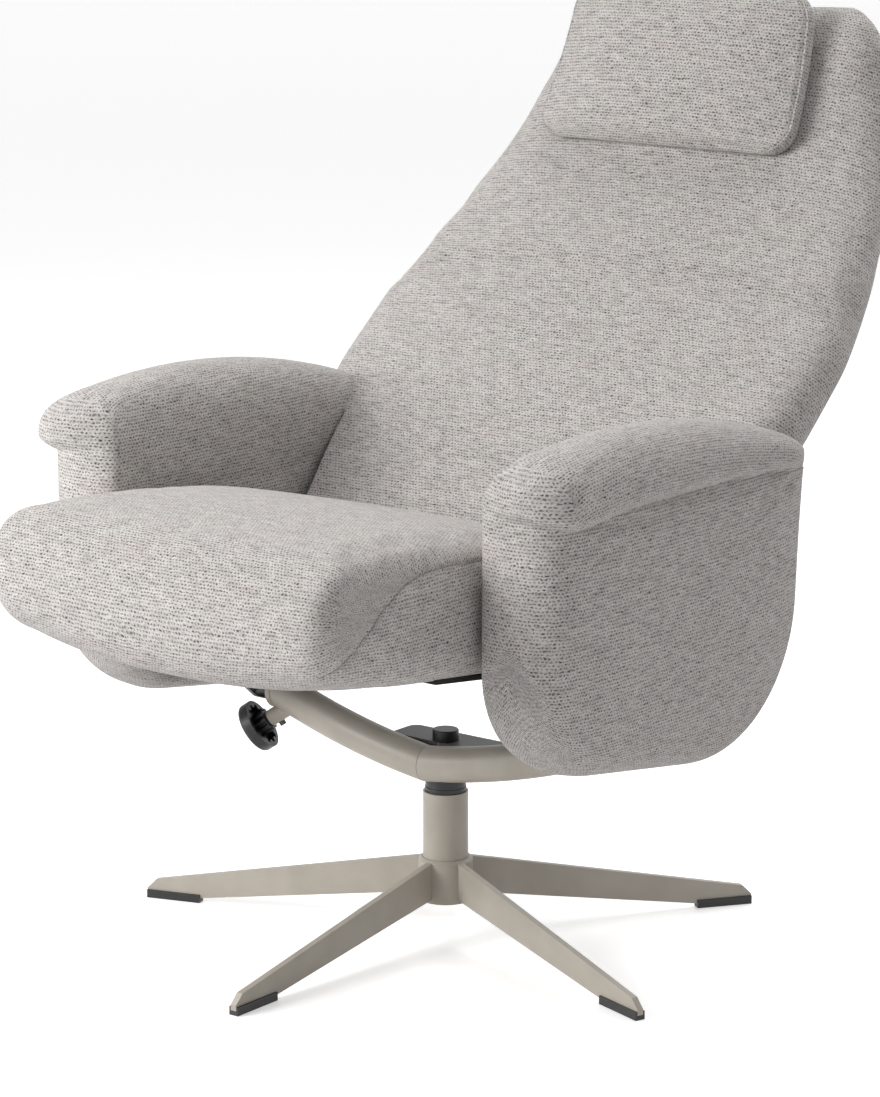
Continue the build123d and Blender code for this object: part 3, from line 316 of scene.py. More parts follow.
def build_cover(name, loops, weave, hold, seam=None, patch=None):
    """A mesh from loops[i, j] (i from face to face, j round), with uv weave[i, j] where j has one more column.

    hold is 1 where the foam can't move the cloth, and seam is the signed distance to a sewn line.
    patch is a mask of faces and the weave they use instead.
    """
    rows, columns = loops.shape[:2]
    i, j = np.meshgrid(np.arange(rows - 1), np.arange(columns), indexing="ij")
    after = (j + 1) % columns
    quads = np.stack([i * columns + j, i * columns + after, (i + 1) * columns + after, (i + 1) * columns + j], -1)
    corners = face_corners(weave)
    if patch is not None:
        corners = np.where(patch[0][..., None, None], face_corners(patch[1]), corners)
    mesh = bpy.data.meshes.new(name)
    mesh.from_pydata(loops.reshape(-1, 3).tolist(), [], quads.reshape(-1, 4).tolist())
    mesh.uv_layers.new(name="weave").data.foreach_set("uv", corners.reshape(-1).astype(np.float32))
    held = mesh.attributes.new("hold", "FLOAT", "POINT")
    held.data.foreach_set("value", hold.reshape(-1).astype(np.float32))
    sewn = mesh.attributes.new("seam", "FLOAT", "POINT")
    far_off = np.full(hold.shape, NO_SEAM)
    sewn.data.foreach_set("value", (far_off if seam is None else seam).reshape(-1).astype(np.float32))
    shell = bmesh.new()
    shell.from_mesh(mesh)
    bmesh.ops.remove_doubles(shell, verts=shell.verts, dist=2e-5)
    bmesh.ops.dissolve_degenerate(shell, edges=shell.edges, dist=2e-5)
    bmesh.ops.recalc_face_normals(shell, faces=shell.faces)
    shell.to_mesh(mesh)
    shell.free()
    mesh.polygons.foreach_set("use_smooth", np.ones(len(mesh.polygons), bool))
    piece = bpy.data.objects.new(name, mesh)
    bpy.context.scene.collection.objects.link(piece)
    return piece


# %% The foam's pressure


def rows_of(source, name, width=3):
    """The named values of vertices, normals or an attribute as an array of rows."""
    flat = np.empty(len(source) * width, np.float32)
    source.foreach_get(name, flat)
    return flat.reshape(-1, width).astype(float)


def put_points(mesh, places):
    """Move the vertices of a mesh."""
    mesh.vertices.foreach_set("co", np.asarray(places, np.float32).ravel())
    mesh.update()


def swell(piece, slim=0.006, cap=0.009, frames=20, force=4.0):
    """Draw the skin in by slim where it is free, blow it up, and soften each move m to cap * tanh(m / cap)."""
    mesh = piece.data
    hold = rows_of(mesh.attributes["hold"].data, "value", 1)[:, 0]
    full = rows_of(mesh.vertices, "co")
    slender = full - rows_of(mesh.vertex_normals, "vector") * (slim * (1 - hold))[:, None]
    put_points(mesh, slender)
    group = piece.vertex_groups.new(name="hold")
    for share in np.unique(np.round(hold, 2)):
        group.add(np.flatnonzero(np.round(hold, 2) == share).tolist(), float(share), "REPLACE")
    modifier = piece.modifiers.new("foam", "CLOTH")
    cloth = modifier.settings
    cloth.quality = 5
    cloth.use_pressure = True
    cloth.uniform_pressure_force = force
    cloth.vertex_group_mass = "hold"
    cloth.effector_weights.gravity = 0
    modifier.point_cache.frame_end = frames
    for number in range(1, frames + 1):
        bpy.context.scene.frame_set(number)
    graph = bpy.context.evaluated_depsgraph_get()
    blown = piece.evaluated_get(graph)
    moved = rows_of(blown.data.vertices, "co") - slender
    size = np.linalg.norm(moved, axis=1)
    share = cap * np.tanh(size / cap) / np.maximum(size, 1e-9)
    piece.modifiers.remove(modifier)
    bpy.context.scene.frame_set(1)
    put_points(mesh, slender + moved * share[:, None])
    proud = ((rows_of(mesh.vertices, "co") - full) * rows_of(mesh.vertex_normals, "vector")).sum(1) * 1000
    print(piece.name, "proud of the solid mm", np.round([proud.min(), proud.mean(), proud.max()], 1))


def finish_cover(piece, body, *replaced, fill=0.8):
    """One smooth subdivision, the cover cloth, and its place in the chair."""
    piece.data.materials.append(cover)
    smooth = piece.modifiers.new("smooth", "SUBSURF")
    smooth.levels = smooth.render_levels = 1
    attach(piece, body)
    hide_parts(*replaced)
    print(piece.name, "faces", len(piece.data.polygons) * 4)


# %% Curves, distances and soft steps


def on_circle(centre, radius, degrees):
    """Points at angles on a circle."""
    turn = np.radians(degrees)
    return centre + radius * np.stack([np.cos(turn), np.sin(turn)], -1)


def arc(first, middle, last, count):
    """Points on the circle through three points (y, z): the centre solves two equal-distance equations."""
    (ax, ay), (bx, by), (cx, cy) = first, middle, last
    lead = np.array([[bx - ax, by - ay], [cx - ax, cy - ay]]) * 2
    sums = np.array([bx ** 2 - ax ** 2 + by ** 2 - ay ** 2, cx ** 2 - ax ** 2 + cy ** 2 - ay ** 2])
    centre = np.linalg.solve(lead, sums)
    angle = [np.arctan2(p[1] - centre[1], p[0] - centre[0]) for p in (first, middle, last)]
    turn = np.unwrap(angle)
    swept = np.linspace(turn[0], turn[2], count)
    radius = np.hypot(ax - centre[0], ay - centre[1])
    return np.stack([centre[0] + radius * np.cos(swept), centre[1] + radius * np.sin(swept)], -1)


def run_along(points, axis=0):
    """Distance travelled along one axis of an array of points, 0 at its start."""
    step = np.linalg.norm(np.diff(points, axis=axis), axis=-1)
    return np.concatenate([np.zeros_like(np.take(step, [0], axis)), np.cumsum(step, axis)], axis)


def even(path, count, closed=True):
    """Resample a path to points at equal distances along it."""
    line = np.vstack([path, path[:1]]) if closed else path
    run = run_along(line)
    wanted = np.linspace(0, run[-1], count + (1 if closed else 0))
    wanted = wanted[:-1] if closed else wanted
    return np.stack([np.interp(wanted, run, line[:, k]) for k in range(line.shape[1])], -1)


def outward(loop):
    """Unit normals of a closed anticlockwise loop in a plane, from central differences."""
    ahead = np.roll(loop, -1, 0) - np.roll(loop, 1, 0)
    ahead /= np.linalg.norm(ahead, axis=1)[:, None]
    return np.stack([ahead[:, 1], -ahead[:, 0]], -1)


def ease(x, low, high):
    """Smooth step from 0 at low to 1 at high."""
    t = np.clip((x - low) / (high - low), 0, 1)
    return t * t * (3 - 2 * t)


def bulge(share, power=2.2):
    """Quarter of a superellipse: 0 at share 0, 1 at share 1."""
    return (1 - (1 - np.clip(share, 0, 1)) ** power) ** (1 / power)


def to_segments(path, spots):
    """Distance from each spot to each segment of a path, and the side: foot a + t (b - a) with t kept in 0..1."""
    a, b = path[:-1], path[1:]
    step = b - a
    flat_spots = spots.reshape(-1, 1, 2)
    t = np.clip(((flat_spots - a) * step).sum(-1) / (step ** 2).sum(-1), 0, 1)
    apart = flat_spots - (a + t[..., None] * step)
    side = np.sign(step[:, 0] * apart[..., 1] - step[:, 1] * apart[..., 0])
    return np.linalg.norm(apart, axis=-1), side


def distance_to(path, spots):
    """Shortest distance from each spot to a path."""
    return to_segments(path, spots)[0].min(1).reshape(spots.shape[:-1])


def signed_distance_to(path, spots):
    """Shortest distance, negative on the right of the path's direction."""
    away, side = to_segments(path, spots)
    nearest = away.argmin(1)
    each = np.arange(len(nearest))
    return (away[each, nearest] * side[each, nearest]).reshape(spots.shape[:-1])


# %% [markdown]
# ## Seat cushion
# The seat is a thick foam pad whose main band of cloth runs from the crease over the top, round the nose and
# back underneath. Side panels close it. The top is a little crowned across, and the nose rounds off at the
# corners. The profile is drawn in the side view and carried across the width.

# %% Seat cushion in the side view
HINGE = np.array([0.0661331, 0.3998702])
NOSE = np.array([-0.410, 0.4455])
NOSE_ROUND = 0.0625
REAR_TOP = (0.0222, 0.437)
SEAT_TOP = (-0.180, 0.493)
UNDER_REAR = [(0.020, 0.3259), (0.0255, 0.3592)]
REAR_ROUND = 0.0575
SEAT_EDGE, NOSE_EDGE, UNDER_EDGE = 0.024, 0.036, 0.034
# The side seam: up from the low front corner, round, and on under the top edge
SIDE_SEAM = np.array([
    (-0.462, 0.380), (-0.449, 0.394), (-0.430, 0.415), (-0.411, 0.434), (-0.390, 0.451), (-0.368, 0.464),
    (-0.342, 0.475), (-0.315, 0.481), (-0.270, 0.481), (-0.226, 0.477), (-0.120, 0.464), (-0.020, 0.436),
])

seat_outline = np.vstack([
    arc(REAR_TOP, SEAT_TOP, on_circle(NOSE, NOSE_ROUND, 90), 60)[:-1],
    on_circle(NOSE, NOSE_ROUND, np.linspace(90, 262.5, 40)),
    UNDER_REAR,
    on_circle(HINGE, REAR_ROUND, np.linspace(220, 145, 12)),
])
seat_loop = even(seat_outline, 150)
seat_out = outward(seat_loop)
fore = 1 - ease(seat_loop[:, 0], -0.46, -0.30)
facing_up = ease(seat_out[:, 1], 0.35, 0.95)
facing_down = ease(-seat_out[:, 1], 0.35, 0.95)
edge_round = SEAT_EDGE + (NOSE_EDGE - SEAT_EDGE) * fore * (1 - facing_up)
edge_round = np.maximum(edge_round, UNDER_EDGE * facing_down)
edge_round = edge_round * (1 - 0.8 * ease(seat_loop[:, 0], -0.02, 0.01))
print("seat outline", round(run_along(seat_outline)[-1], 3), "m round")

# %% Seat cushion
SEAT_HALF = 0.226
SEAT_CROWN = 0.006
SEAT_BELLY = 0.017
PANEL_CENTRE = np.array([-0.215, 0.418])

# Half of the width: the flat part in shares, the turn over the edge in radians, and the side in shares
# from the rim to the panel's centre
flat = np.linspace(0, 1, 26)[:, None]
turns = np.linspace(0, np.pi / 2, 7)[1:, None]
side_share = np.linspace(0, 1, 10)[1:]
inset = edge_round * (1 - np.cos(turns))
turn_loops = seat_loop - seat_out * inset[..., None]
rim = turn_loops[-1]
side_loops = rim + (PANEL_CENTRE - rim) * side_share[:, None, None]
half_x = np.concatenate([
    flat * (SEAT_HALF - edge_round), SEAT_HALF - edge_round * (1 - np.sin(turns)),
    np.full(side_loops.shape[:2], SEAT_HALF)])
flat_loops = np.broadcast_to(seat_loop, (len(flat), *seat_loop.shape))
half = np.concatenate([half_x[..., None], np.concatenate([flat_loops, turn_loops, side_loops])], -1)
bow = (half_x / SEAT_HALF) ** 2
top_side = ease(seat_out[:, 1], 0.2, 0.9) * ease(seat_loop[:, 0], -0.40, -0.20)
half[..., 2] -= SEAT_CROWN * bow * top_side
under_nose = ease(-seat_out[:, 1], 0.0, 0.8) * (1 - ease(seat_loop[:, 0], -0.32, -0.10))
half[..., 2] -= SEAT_BELLY * (1 - bow) * under_nose
seat_loops = np.concatenate([half[1:][::-1] * np.array([-1, 1, 1]), half])

run = run_along(np.vstack([seat_loop, seat_loop[:1]]))
closed_half = np.concatenate([half, half[:, :1]], 1)
reach = run_along(closed_half)
band_weave = np.stack([reach, np.broadcast_to(run, reach.shape)], -1)
side_weave = closed_half[..., 1:] + SIDE_CUT
seat_weave, seat_panel_weave = (
    np.concatenate([grid[1:][::-1] * np.array([-1, 1]), grid]) for grid in (band_weave, side_weave))

below = 1 - ease(seat_out[:, 1], -0.9, -0.5)
seat_hold = np.maximum(ease(seat_loop[:, 0], -0.04, 0.0), below * ease(seat_loop[:, 0], -0.40, -0.33))
side_hold = np.r_[np.zeros(len(flat) + len(turns)), ease(side_share, 0.15, 0.45)]
side_hold = np.r_[side_hold[1:][::-1], side_hold][:, None]
seat_hold = np.maximum(seat_hold, side_hold)
seam_path = even(SIDE_SEAM, 120, closed=False)
on_side = np.abs(seat_loops[..., 0]) > SEAT_HALF - NOSE_EDGE * 0.75
seat_seam = np.where(on_side, signed_distance_to(seam_path, seat_loops[..., 1:]), NO_SEAM)
seat_middle, seat_normal = face_middles(seat_loops)
sideways = (np.abs(seat_normal[..., 0]) > 0.55) & (np.abs(seat_middle[..., 0]) > SEAT_HALF - NOSE_EDGE)
in_panel = sideways & (signed_distance_to(seam_path, seat_middle[..., 1:]) < 0)
seat = build_cover("seat_cover", seat_loops, seat_weave, seat_hold, seat_seam, (in_panel, seat_panel_weave))
swell(seat, slim=0.003, cap=0.005)
finish_cover(seat, "seat_unit", "seat_cushion")

# %% [markdown]
# ## Back cushion
# The back leans straight up from the crease and then bends more upright for the head. It is widest over
# the arms and tapers to the top. Its cloth goes round the sides without a seam, so the skin is a stack of
# rounded sections up the back, closed at the foot and over the top.

# %% The back's own coordinates
BACK_FOOT = np.array([0.030, 0.440])
RECLINE = np.radians(48)
BACK_STRAIGHT = 0.420
BACK_BEND = 0.430
BACK_THICK = 0.108
BACK_LENGTH = BACK_STRAIGHT + BACK_BEND * np.radians(36)
BEND_MIDDLE = BACK_FOOT + np.array([
    BACK_STRAIGHT * np.sin(RECLINE) - BACK_BEND * np.cos(RECLINE),
    BACK_STRAIGHT * np.cos(RECLINE) + BACK_BEND * np.sin(RECLINE),
])


def on_back(x, along, depth):
    """Point (x, y, z) at a distance up the front face and a depth behind it.

    Past the straight part it turns round BEND_MIDDLE.
    """
    x, along, depth = np.broadcast_arrays(x, along, depth)
    lean = RECLINE - np.clip(along - BACK_STRAIGHT, 0, None) / BACK_BEND
    straight_y = BACK_FOOT[0] + along * np.sin(RECLINE) + depth * np.cos(RECLINE)
    straight_z = BACK_FOOT[1] + along * np.cos(RECLINE) - depth * np.sin(RECLINE)
    bent_y = BEND_MIDDLE[0] + (BACK_BEND + depth) * np.cos(lean)
    bent_z = BEND_MIDDLE[1] - (BACK_BEND + depth) * np.sin(lean)
    bent = along > BACK_STRAIGHT
    return np.stack([x, np.where(bent, bent_y, straight_y), np.where(bent, bent_z, straight_z)], -1)


print("back length", round(BACK_LENGTH, 4))

# %% Back cushion
WIDTH_AT = np.array([-0.06, 0, 0.10, 0.20, 0.30, 0.40, 0.47, 0.53, 0.59, 0.64, 0.70])
HALF_WIDTH = np.array([0.245, 0.262, 0.288, 0.304, 0.307, 0.298, 0.284, 0.263, 0.243, 0.225, 0.207])
BACK_SIDE = 0.046
OVER_TOP = 0.016
BACK_CROWN = 0.014
REAR_TAPER = 0.026
TOP_ROUND, TOP_NARROWS = 0.060, 0.052
# The foot fits between the arms, and from the shoulder on the wings spread over them
BETWEEN_ARMS = 0.2300
FOOT_HALF = 0.213
SHOULDER = 0.150
WING_REACH = 0.4
# Behind the rear panel the cloth is held, and a recess keeps it off the panel
HELD_HALF, HELD_HIGH = 0.175, 0.66
RECESS_HALF, RECESS_LOW, RECESS_HIGH, RECESS_DEEP = 0.143, 0.034, 0.618, 0.012
REAR_FROM = 0.085

foot_turn = np.linspace(-np.pi / 2, 0, 9)[:-1]
along_foot = BACK_THICK / 2 * np.sin(foot_turn)
back_end = BACK_LENGTH + OVER_TOP
along_main = np.linspace(0, back_end - TOP_ROUND, 80)
top_turn = np.linspace(0, np.pi / 2, 13)[1:]
along_top = back_end - TOP_ROUND * (1 - np.sin(top_turn))
along = np.r_[along_foot, along_main, along_top]
slim_share = np.r_[np.cos(foot_turn), np.ones(len(along_main)), np.cos(top_turn) ** 0.75]
round_off = np.r_[np.zeros(len(along_foot) + len(along_main)), 1 - np.cos(top_turn)]

smooth_at = np.linspace(-0.06, 0.70, 400)
kernel = np.exp(-np.linspace(-2, 2, 25) ** 2)
wide = np.pad(np.interp(smooth_at, WIDTH_AT, HALF_WIDTH), 12, "edge")
wide = np.convolve(wide, kernel / kernel.sum(), "valid")
half_width = np.interp(along, smooth_at, wide) - TOP_NARROWS * round_off


def section_ring(rim, side, front, crown, rear, wide_points, side_points, power=2.0, square=0.8, taper=0.0):
    """Closed sections (x, depth), one per row.

    The front falls by crown * |x / rim| ** power, the sides are superellipses (1 is an ellipse),
    the rear comes forward by taper * |x / rim| ** 4.
    """
    rim, front, crown, rear = (np.asarray(v, float)[:, None] for v in (rim, front, crown, rear))
    share = np.linspace(-1, 1, wide_points)
    turn = np.linspace(-np.pi / 2, np.pi / 2, side_points)[1:-1]
    rear_d = rear - taper * (rear - front) / np.max(rear - front) * share ** 4
    side_rear = rear_d[:, :1]
    tall = (side_rear - front - crown) / 2
    side_d = side_rear - tall + tall * np.sign(turn) * np.abs(np.sin(turn)) ** square
    side_x = rim + side * np.cos(turn) ** square
    x = np.concatenate([rim * share, side_x, -rim * share, -side_x[:, ::-1]], 1)
    front_d = front + crown * np.abs(share) ** power
    d = np.concatenate([front_d, side_d, rear_d, side_d[:, ::-1]], 1)
    return x, d


def unrolled(loops, middle):
    """Weave coordinates of stacked sections: distance round each from its middle, and distance up that column."""
    round_it = run_along(np.concatenate([loops, loops[:, :1]], 1), 1)
    round_it = round_it - round_it[:, middle][:, None]
    up = run_along(loops[:, middle])
    return np.stack([round_it, np.broadcast_to(up[:, None], round_it.shape)], -1)


BACK_WIDE_POINTS = 59
back_x, back_d = section_ring(
    half_width - BACK_SIDE, BACK_SIDE, BACK_THICK / 2 * (1 - slim_share),
    BACK_CROWN * ease(along, 0.10, BACK_STRAIGHT) * slim_share, BACK_THICK / 2 * (1 + slim_share),
    BACK_WIDE_POINTS, 18, 2.0, 0.95, REAR_TAPER)
back_loops = on_back(back_x, along[:, None], back_d)
from_hinge = np.hypot(back_loops[..., 1] - HINGE[0], back_loops[..., 2] - HINGE[1])
between = FOOT_HALF + (BETWEEN_ARMS - FOOT_HALF) * ease(along, -0.03, 0.12)[:, None]
limit = between + (WING_REACH - between) * ease(from_hinge, SHOULDER - 0.020, SHOULDER + 0.018)
back_loops[..., 0] = np.sign(back_x) * np.minimum(np.abs(back_x), limit)
back_weave = unrolled(back_loops, BACK_WIDE_POINTS // 2)
behind_panel = ease(back_d, REAR_FROM, 0.105) * (np.abs(back_x) < HELD_HALF)
behind_panel = behind_panel * ((along > 0.0) & (along < HELD_HIGH))[:, None]
recess = (np.abs(back_x) < RECESS_HALF) & (back_d > REAR_FROM)
recess = recess & ((along > RECESS_LOW) & (along < RECESS_HIGH))[:, None]
sunk_loops = on_back(back_loops[..., 0], along[:, None], back_d - RECESS_DEEP)
back_loops = np.where(recess[..., None], sunk_loops, back_loops)
back_hold = np.maximum(behind_panel, 1 - ease(from_hinge, 0.10, 0.46))
back = build_cover("back_cover", back_loops, back_weave, back_hold)
swell(back)
finish_cover(back, "back_unit", "back_cushion")

# %% Rear panel of the back
PANEL_HALF = 0.1555
PANEL_LOW, PANEL_LONG = 0.0205, 0.614
PANEL_PROUD, PANEL_DEEP = 0.006, 0.009
PANEL_CORNER, PANEL_SIDE = 0.020, 0.004
PANEL_LIFT, PANEL_CLOSE = 0.0040, 0.008
PANEL_WIDE_POINTS = 49
panel_up = PANEL_LONG * (1 - np.cos(np.linspace(0, np.pi, 90))) / 2
panel_end = np.minimum(panel_up, PANEL_LONG - panel_up)
panel_half = PANEL_HALF - PANEL_CORNER * (1 - bulge(panel_end / PANEL_CORNER, 2.0))
panel_shut = bulge(panel_end / PANEL_CLOSE, 2.0)
panel_middle_depth = BACK_THICK - PANEL_DEEP / 2
panel_x, panel_d = section_ring(
    panel_half - PANEL_SIDE, PANEL_SIDE,
    -(panel_middle_depth + PANEL_DEEP / 2 * panel_shut + PANEL_PROUD * panel_shut),
    PANEL_PROUD * panel_shut, -(panel_middle_depth - PANEL_DEEP / 2 * panel_shut), PANEL_WIDE_POINTS, 8, 6.0)
# The panel follows the rear of the back, which comes forward to the sides
panel_rim = np.interp(PANEL_LOW + panel_up, smooth_at, wide)[:, None] - BACK_SIDE
panel_fall = REAR_TAPER * (np.abs(panel_x) / panel_rim) ** 4 - PANEL_LIFT
panel_loops = on_back(panel_x, PANEL_LOW + panel_up[:, None], -panel_d - panel_fall)
panel_weave = unrolled(panel_loops, PANEL_WIDE_POINTS // 2) + PANEL_CUT
panel_column = np.arange(panel_loops.shape[1])
panel_hold = np.where(panel_column < PANEL_WIDE_POINTS, 0.4, 1.0) * np.ones((len(panel_up), 1))
rear_panel = build_cover("rear_panel_cover", panel_loops, panel_weave, panel_hold)
finish_cover(rear_panel, "back_unit", "back_panel", fill=0.5)

# %% [markdown]
# ## Arms
# Each arm is a padded panel with a deep round front and a rounder rear. Its cloth runs up the inside and over
# the top without a seam and hangs over the outer face as a soft lip, which closes on that face with a crease.
# The skin is a stack of sections from front to rear: up the outer face, into the crease, round the lip,
# over the top and down the inside.

# %% Outline of an arm in the side view
ARM_IN = 0.2326
PAD_FRONT, PAD_REAR = -0.259, 0.200
NOSE_REACH = 0.015
# The crease under the lip in the side view: it sags behind the nose and falls slightly to the rear
CREASE_AT = np.array([-0.272, -0.255, -0.235, -0.215, -0.146, -0.060, 0.000, 0.073, 0.140, 0.203])
CREASE_HEIGHT = np.array([0.530, 0.525, 0.520, 0.519, 0.526, 0.527, 0.528, 0.525, 0.520, 0.510])


def seam_height(y):
    """Height of the crease: a cubic between neighbours whose slopes are the mean of the steps on both sides."""
    step = np.diff(CREASE_HEIGHT) / np.diff(CREASE_AT)
    slope = np.r_[step[0], (step[1:] + step[:-1]) / 2, step[-1]]
    k = np.clip(np.searchsorted(CREASE_AT, y) - 1, 0, len(step) - 1)
    wide = CREASE_AT[k + 1] - CREASE_AT[k]
    t = np.clip((y - CREASE_AT[k]) / wide, 0, 1)
    first = CREASE_HEIGHT[k] + t * wide * slope[k]
    last = CREASE_HEIGHT[k + 1] - (1 - t) * wide * slope[k + 1]
    return first + (last - first) * t * t * (3 - 2 * t)


def pad_edge():
    """The panel's edge in the side view: down the front, round two arcs that share a tangent, up the rear."""
    front_arc = np.array([-0.141, 0.372])
    rear_arc = np.array([0.031, 0.389])
    front_round, rear_round = 0.118, 0.161
    gap = rear_arc - front_arc
    heading = np.arctan2(gap[1], gap[0])
    touch = np.degrees(heading - np.arccos((front_round - rear_round) / np.linalg.norm(gap)))
    lower = np.vstack([
        on_circle(front_arc, front_round, np.linspace(-180, touch, 160)),
        on_circle(rear_arc, rear_round, np.linspace(touch, -4, 160)),
        (PAD_REAR, seam_height(PAD_REAR)),
    ])
    return even(np.vstack([(PAD_FRONT, seam_height(PAD_FRONT)), lower]), 420, closed=False), lower


edge, lower_edge = pad_edge()
print("arm edge", len(edge), "points, lowest", round(edge[:, 1].min(), 4))

# %% Sections of an arm
front_rows = PAD_FRONT + 0.040 * (1 - np.cos(np.linspace(0, np.pi / 2, 13)))
rear_rows = PAD_REAR - 0.044 * (1 - np.sin(np.linspace(0, np.pi / 2, 13)))
middle_rows = np.linspace(front_rows[-1], rear_rows[0], 56)[1:-1]
arm_y = np.r_[front_rows, middle_rows, rear_rows]
PANEL_POINTS = 44
# Across the arm: the rim between its faces, the outer face, the lip and its crest
RIM_IN = 0.044
ARM_RIM = ARM_IN + RIM_IN
OUTER_DEEP, OUTER_ROUND, OUTER_SWELL = 0.054, 0.038, 0.004
INNER_ROUND = 0.020
LIP_OUT = ARM_IN + 0.117
LIP_BELLY = 0.017
CREASE_IN = 0.004
CREST_OUT = 0.008
CREST = ((PAD_FRONT - NOSE_REACH, 0.578), (-0.100, 0.596), (0.197, 0.545))
STRIP_SUNK, STRIP_TOP = 0.0022, 0.320
# The weave's plan: half circles of cloth round the arm's ends
ARM_MIDDLE = ARM_IN + 0.049
ARM_TURN = 0.050


def round_plan(x, y, side):
    """Distance round an arm's plan from the middle of its front.

    It is ARM_TURN times the angle at the ends and goes with y along the sides.
    """
    first, last = PAD_FRONT + ARM_TURN, PAD_REAR - ARM_TURN
    ahead = ARM_TURN * np.arctan2(x - ARM_MIDDLE, np.maximum(first - y, 1e-9))
    behind = np.arctan2(np.maximum(y - last, 0), np.abs(x - ARM_MIDDLE))
    beside = side * (ARM_TURN * (np.pi / 2 + behind) + np.minimum(y, last) - first)
    return np.where(y < first, ahead, beside)


def arm_sections():
    """Loops (row along y, point round) of one arm with the weave's coordinates and what the foam can't move."""
    y = arm_y[:, None]
    seam = seam_height(y)
    low = np.interp(arm_y, lower_edge[:, 0], lower_edge[:, 1])[:, None]
    spread = (1 - np.cos(np.linspace(0, np.pi, PANEL_POINTS))) / 2
    panel_z = low + (seam - low) * spread
    panel_y = np.broadcast_to(y, panel_z.shape)
    depth = distance_to(edge, np.stack([panel_y, panel_z], -1))
    depth[:, 0] = 0
    depth[(arm_y <= PAD_FRONT) | (arm_y >= PAD_REAR)] = 0
    outer_x = ARM_RIM + OUTER_DEEP * bulge(depth / OUTER_ROUND) + OUTER_SWELL * ease(depth, 0.03, 0.15)
    inner_x = ARM_IN + RIM_IN * (1 - bulge(depth / INNER_ROUND))
    inner_x = inner_x + STRIP_SUNK * ease(depth, 0.018, 0.023) * (1 - ease(panel_z, STRIP_TOP, STRIP_TOP + 0.012))

    from_nose, to_tail = y - PAD_FRONT, PAD_REAR - y
    plan = np.minimum(bulge(from_nose / 0.036, 2.0), bulge(to_tail / 0.075, 2.0))
    ends = np.minimum(bulge(from_nose / 0.050, 2.0), bulge(to_tail / 0.055, 2.0))
    lip_x = ARM_RIM + (LIP_OUT - ARM_RIM) * plan
    crest_x = ARM_RIM + CREST_OUT * ends
    crease_x = outer_x[:, -1:] - CREASE_IN * ends
    side_x = inner_x[:, -1:]
    crest = arc(*CREST, 200)
    belly = seam + LIP_BELLY
    top = belly + (np.interp(y, crest[:, 0], crest[:, 1]) - belly) * ends

    t = np.linspace(0, np.pi / 2, 10)
    under_x = crease_x + (lip_x - crease_x) * np.sin(t) ** 0.8
    under_z = seam + (belly - seam) * (1 - np.cos(t) ** 0.9) - 0.0018 * ends * np.sin(2 * t)
    t = np.linspace(0, np.pi / 2, 13)[1:]
    over_x = crest_x + (lip_x - crest_x) * np.cos(t) ** 0.85
    over_z = belly + (top - belly) * np.sin(t) ** 0.85
    t = np.linspace(0, np.pi / 2, 18)[1:]
    down_x = crest_x + (side_x - crest_x) * np.sin(t) ** 0.70
    down_z = seam + (top - seam) * np.cos(t) ** 0.70
    x = np.concatenate([outer_x, under_x, over_x, down_x, inner_x[:, ::-1]], 1)
    z = np.concatenate([panel_z, under_z, over_z, down_z, panel_z[:, ::-1]], 1)
    forward = ease(x, ARM_IN + 0.005, ARM_IN + 0.080) * ease(z - seam, -0.003, 0.014)
    forward = forward * (1 - ease(from_nose, 0.0, 0.070))
    loops = np.stack([x, y - NOSE_REACH * forward, z], -1)

    girth = run_along(np.stack([x, z], -1), 1)
    crest_at = PANEL_POINTS + len(under_x[0]) + len(over_x[0]) - 1
    over_weave = np.stack([np.broadcast_to(y, x.shape), girth - girth[:, crest_at:crest_at + 1]], -1)
    column = np.arange(x.shape[1])
    side = np.where(column <= crest_at, 1, -1)
    face_plane = np.where(column <= crest_at, ARM_RIM + OUTER_DEEP, ARM_IN)
    tucked = np.abs(face_plane - x) * (1 - ease(z - low, 0.0, 0.035))
    round_weave = np.stack([round_plan(x, y, side), z - tucked], -1)
    over_weave, round_weave = (np.concatenate([grid, grid[:, -1:]], 1) for grid in (over_weave, round_weave))
    facing = np.abs(face_middles(loops)[1])
    on_panel = (column < PANEL_POINTS - 1) | (column >= x.shape[1] - PANEL_POINTS)
    patch = on_panel | (facing[..., 1] > 0.5) | ((column > crest_at) & (facing[..., 0] > 0.7))

    hold = np.zeros(x.shape)
    hold[:, PANEL_POINTS - 1:PANEL_POINTS + 2] = 1.0
    on_seat = 1 - ease(z, 0.44, 0.49)
    hold = np.where(column > crest_at + 16, np.maximum(hold, on_seat), hold)
    rim_hold = 0.75 * (1 - ease(depth, 0.004, 0.034))
    hold[:, :PANEL_POINTS] = np.maximum(hold[:, :PANEL_POINTS], rim_hold)
    hold = np.maximum(hold, 1 - ease(from_nose, 0.004, 0.048))
    hold = np.maximum(hold, 1 - ease(to_tail, 0.004, 0.036))
    return loops, over_weave, hold, (patch, round_weave)


# %% Arm covers
loops, weave, hold, patch = arm_sections()
for hand, sign in (("left", 1), ("right", -1)):
    arm = build_cover(f"arm_cover_{hand}", loops * np.array([sign, 1, 1]), weave, hold, patch=patch)
    swell(arm, slim=0.004, cap=0.006)
    finish_cover(arm, "seat_unit", f"arm_pad_{hand}", f"arm_roll_{hand}")

# %% [markdown]
# ## Head pillow
# A flat boxed pillow lies on the bend of the back. Its front panel is sewn to a narrow border, the lower
# corners are rounded, and it is thickest in the middle. It is drawn on the back's own coordinates.

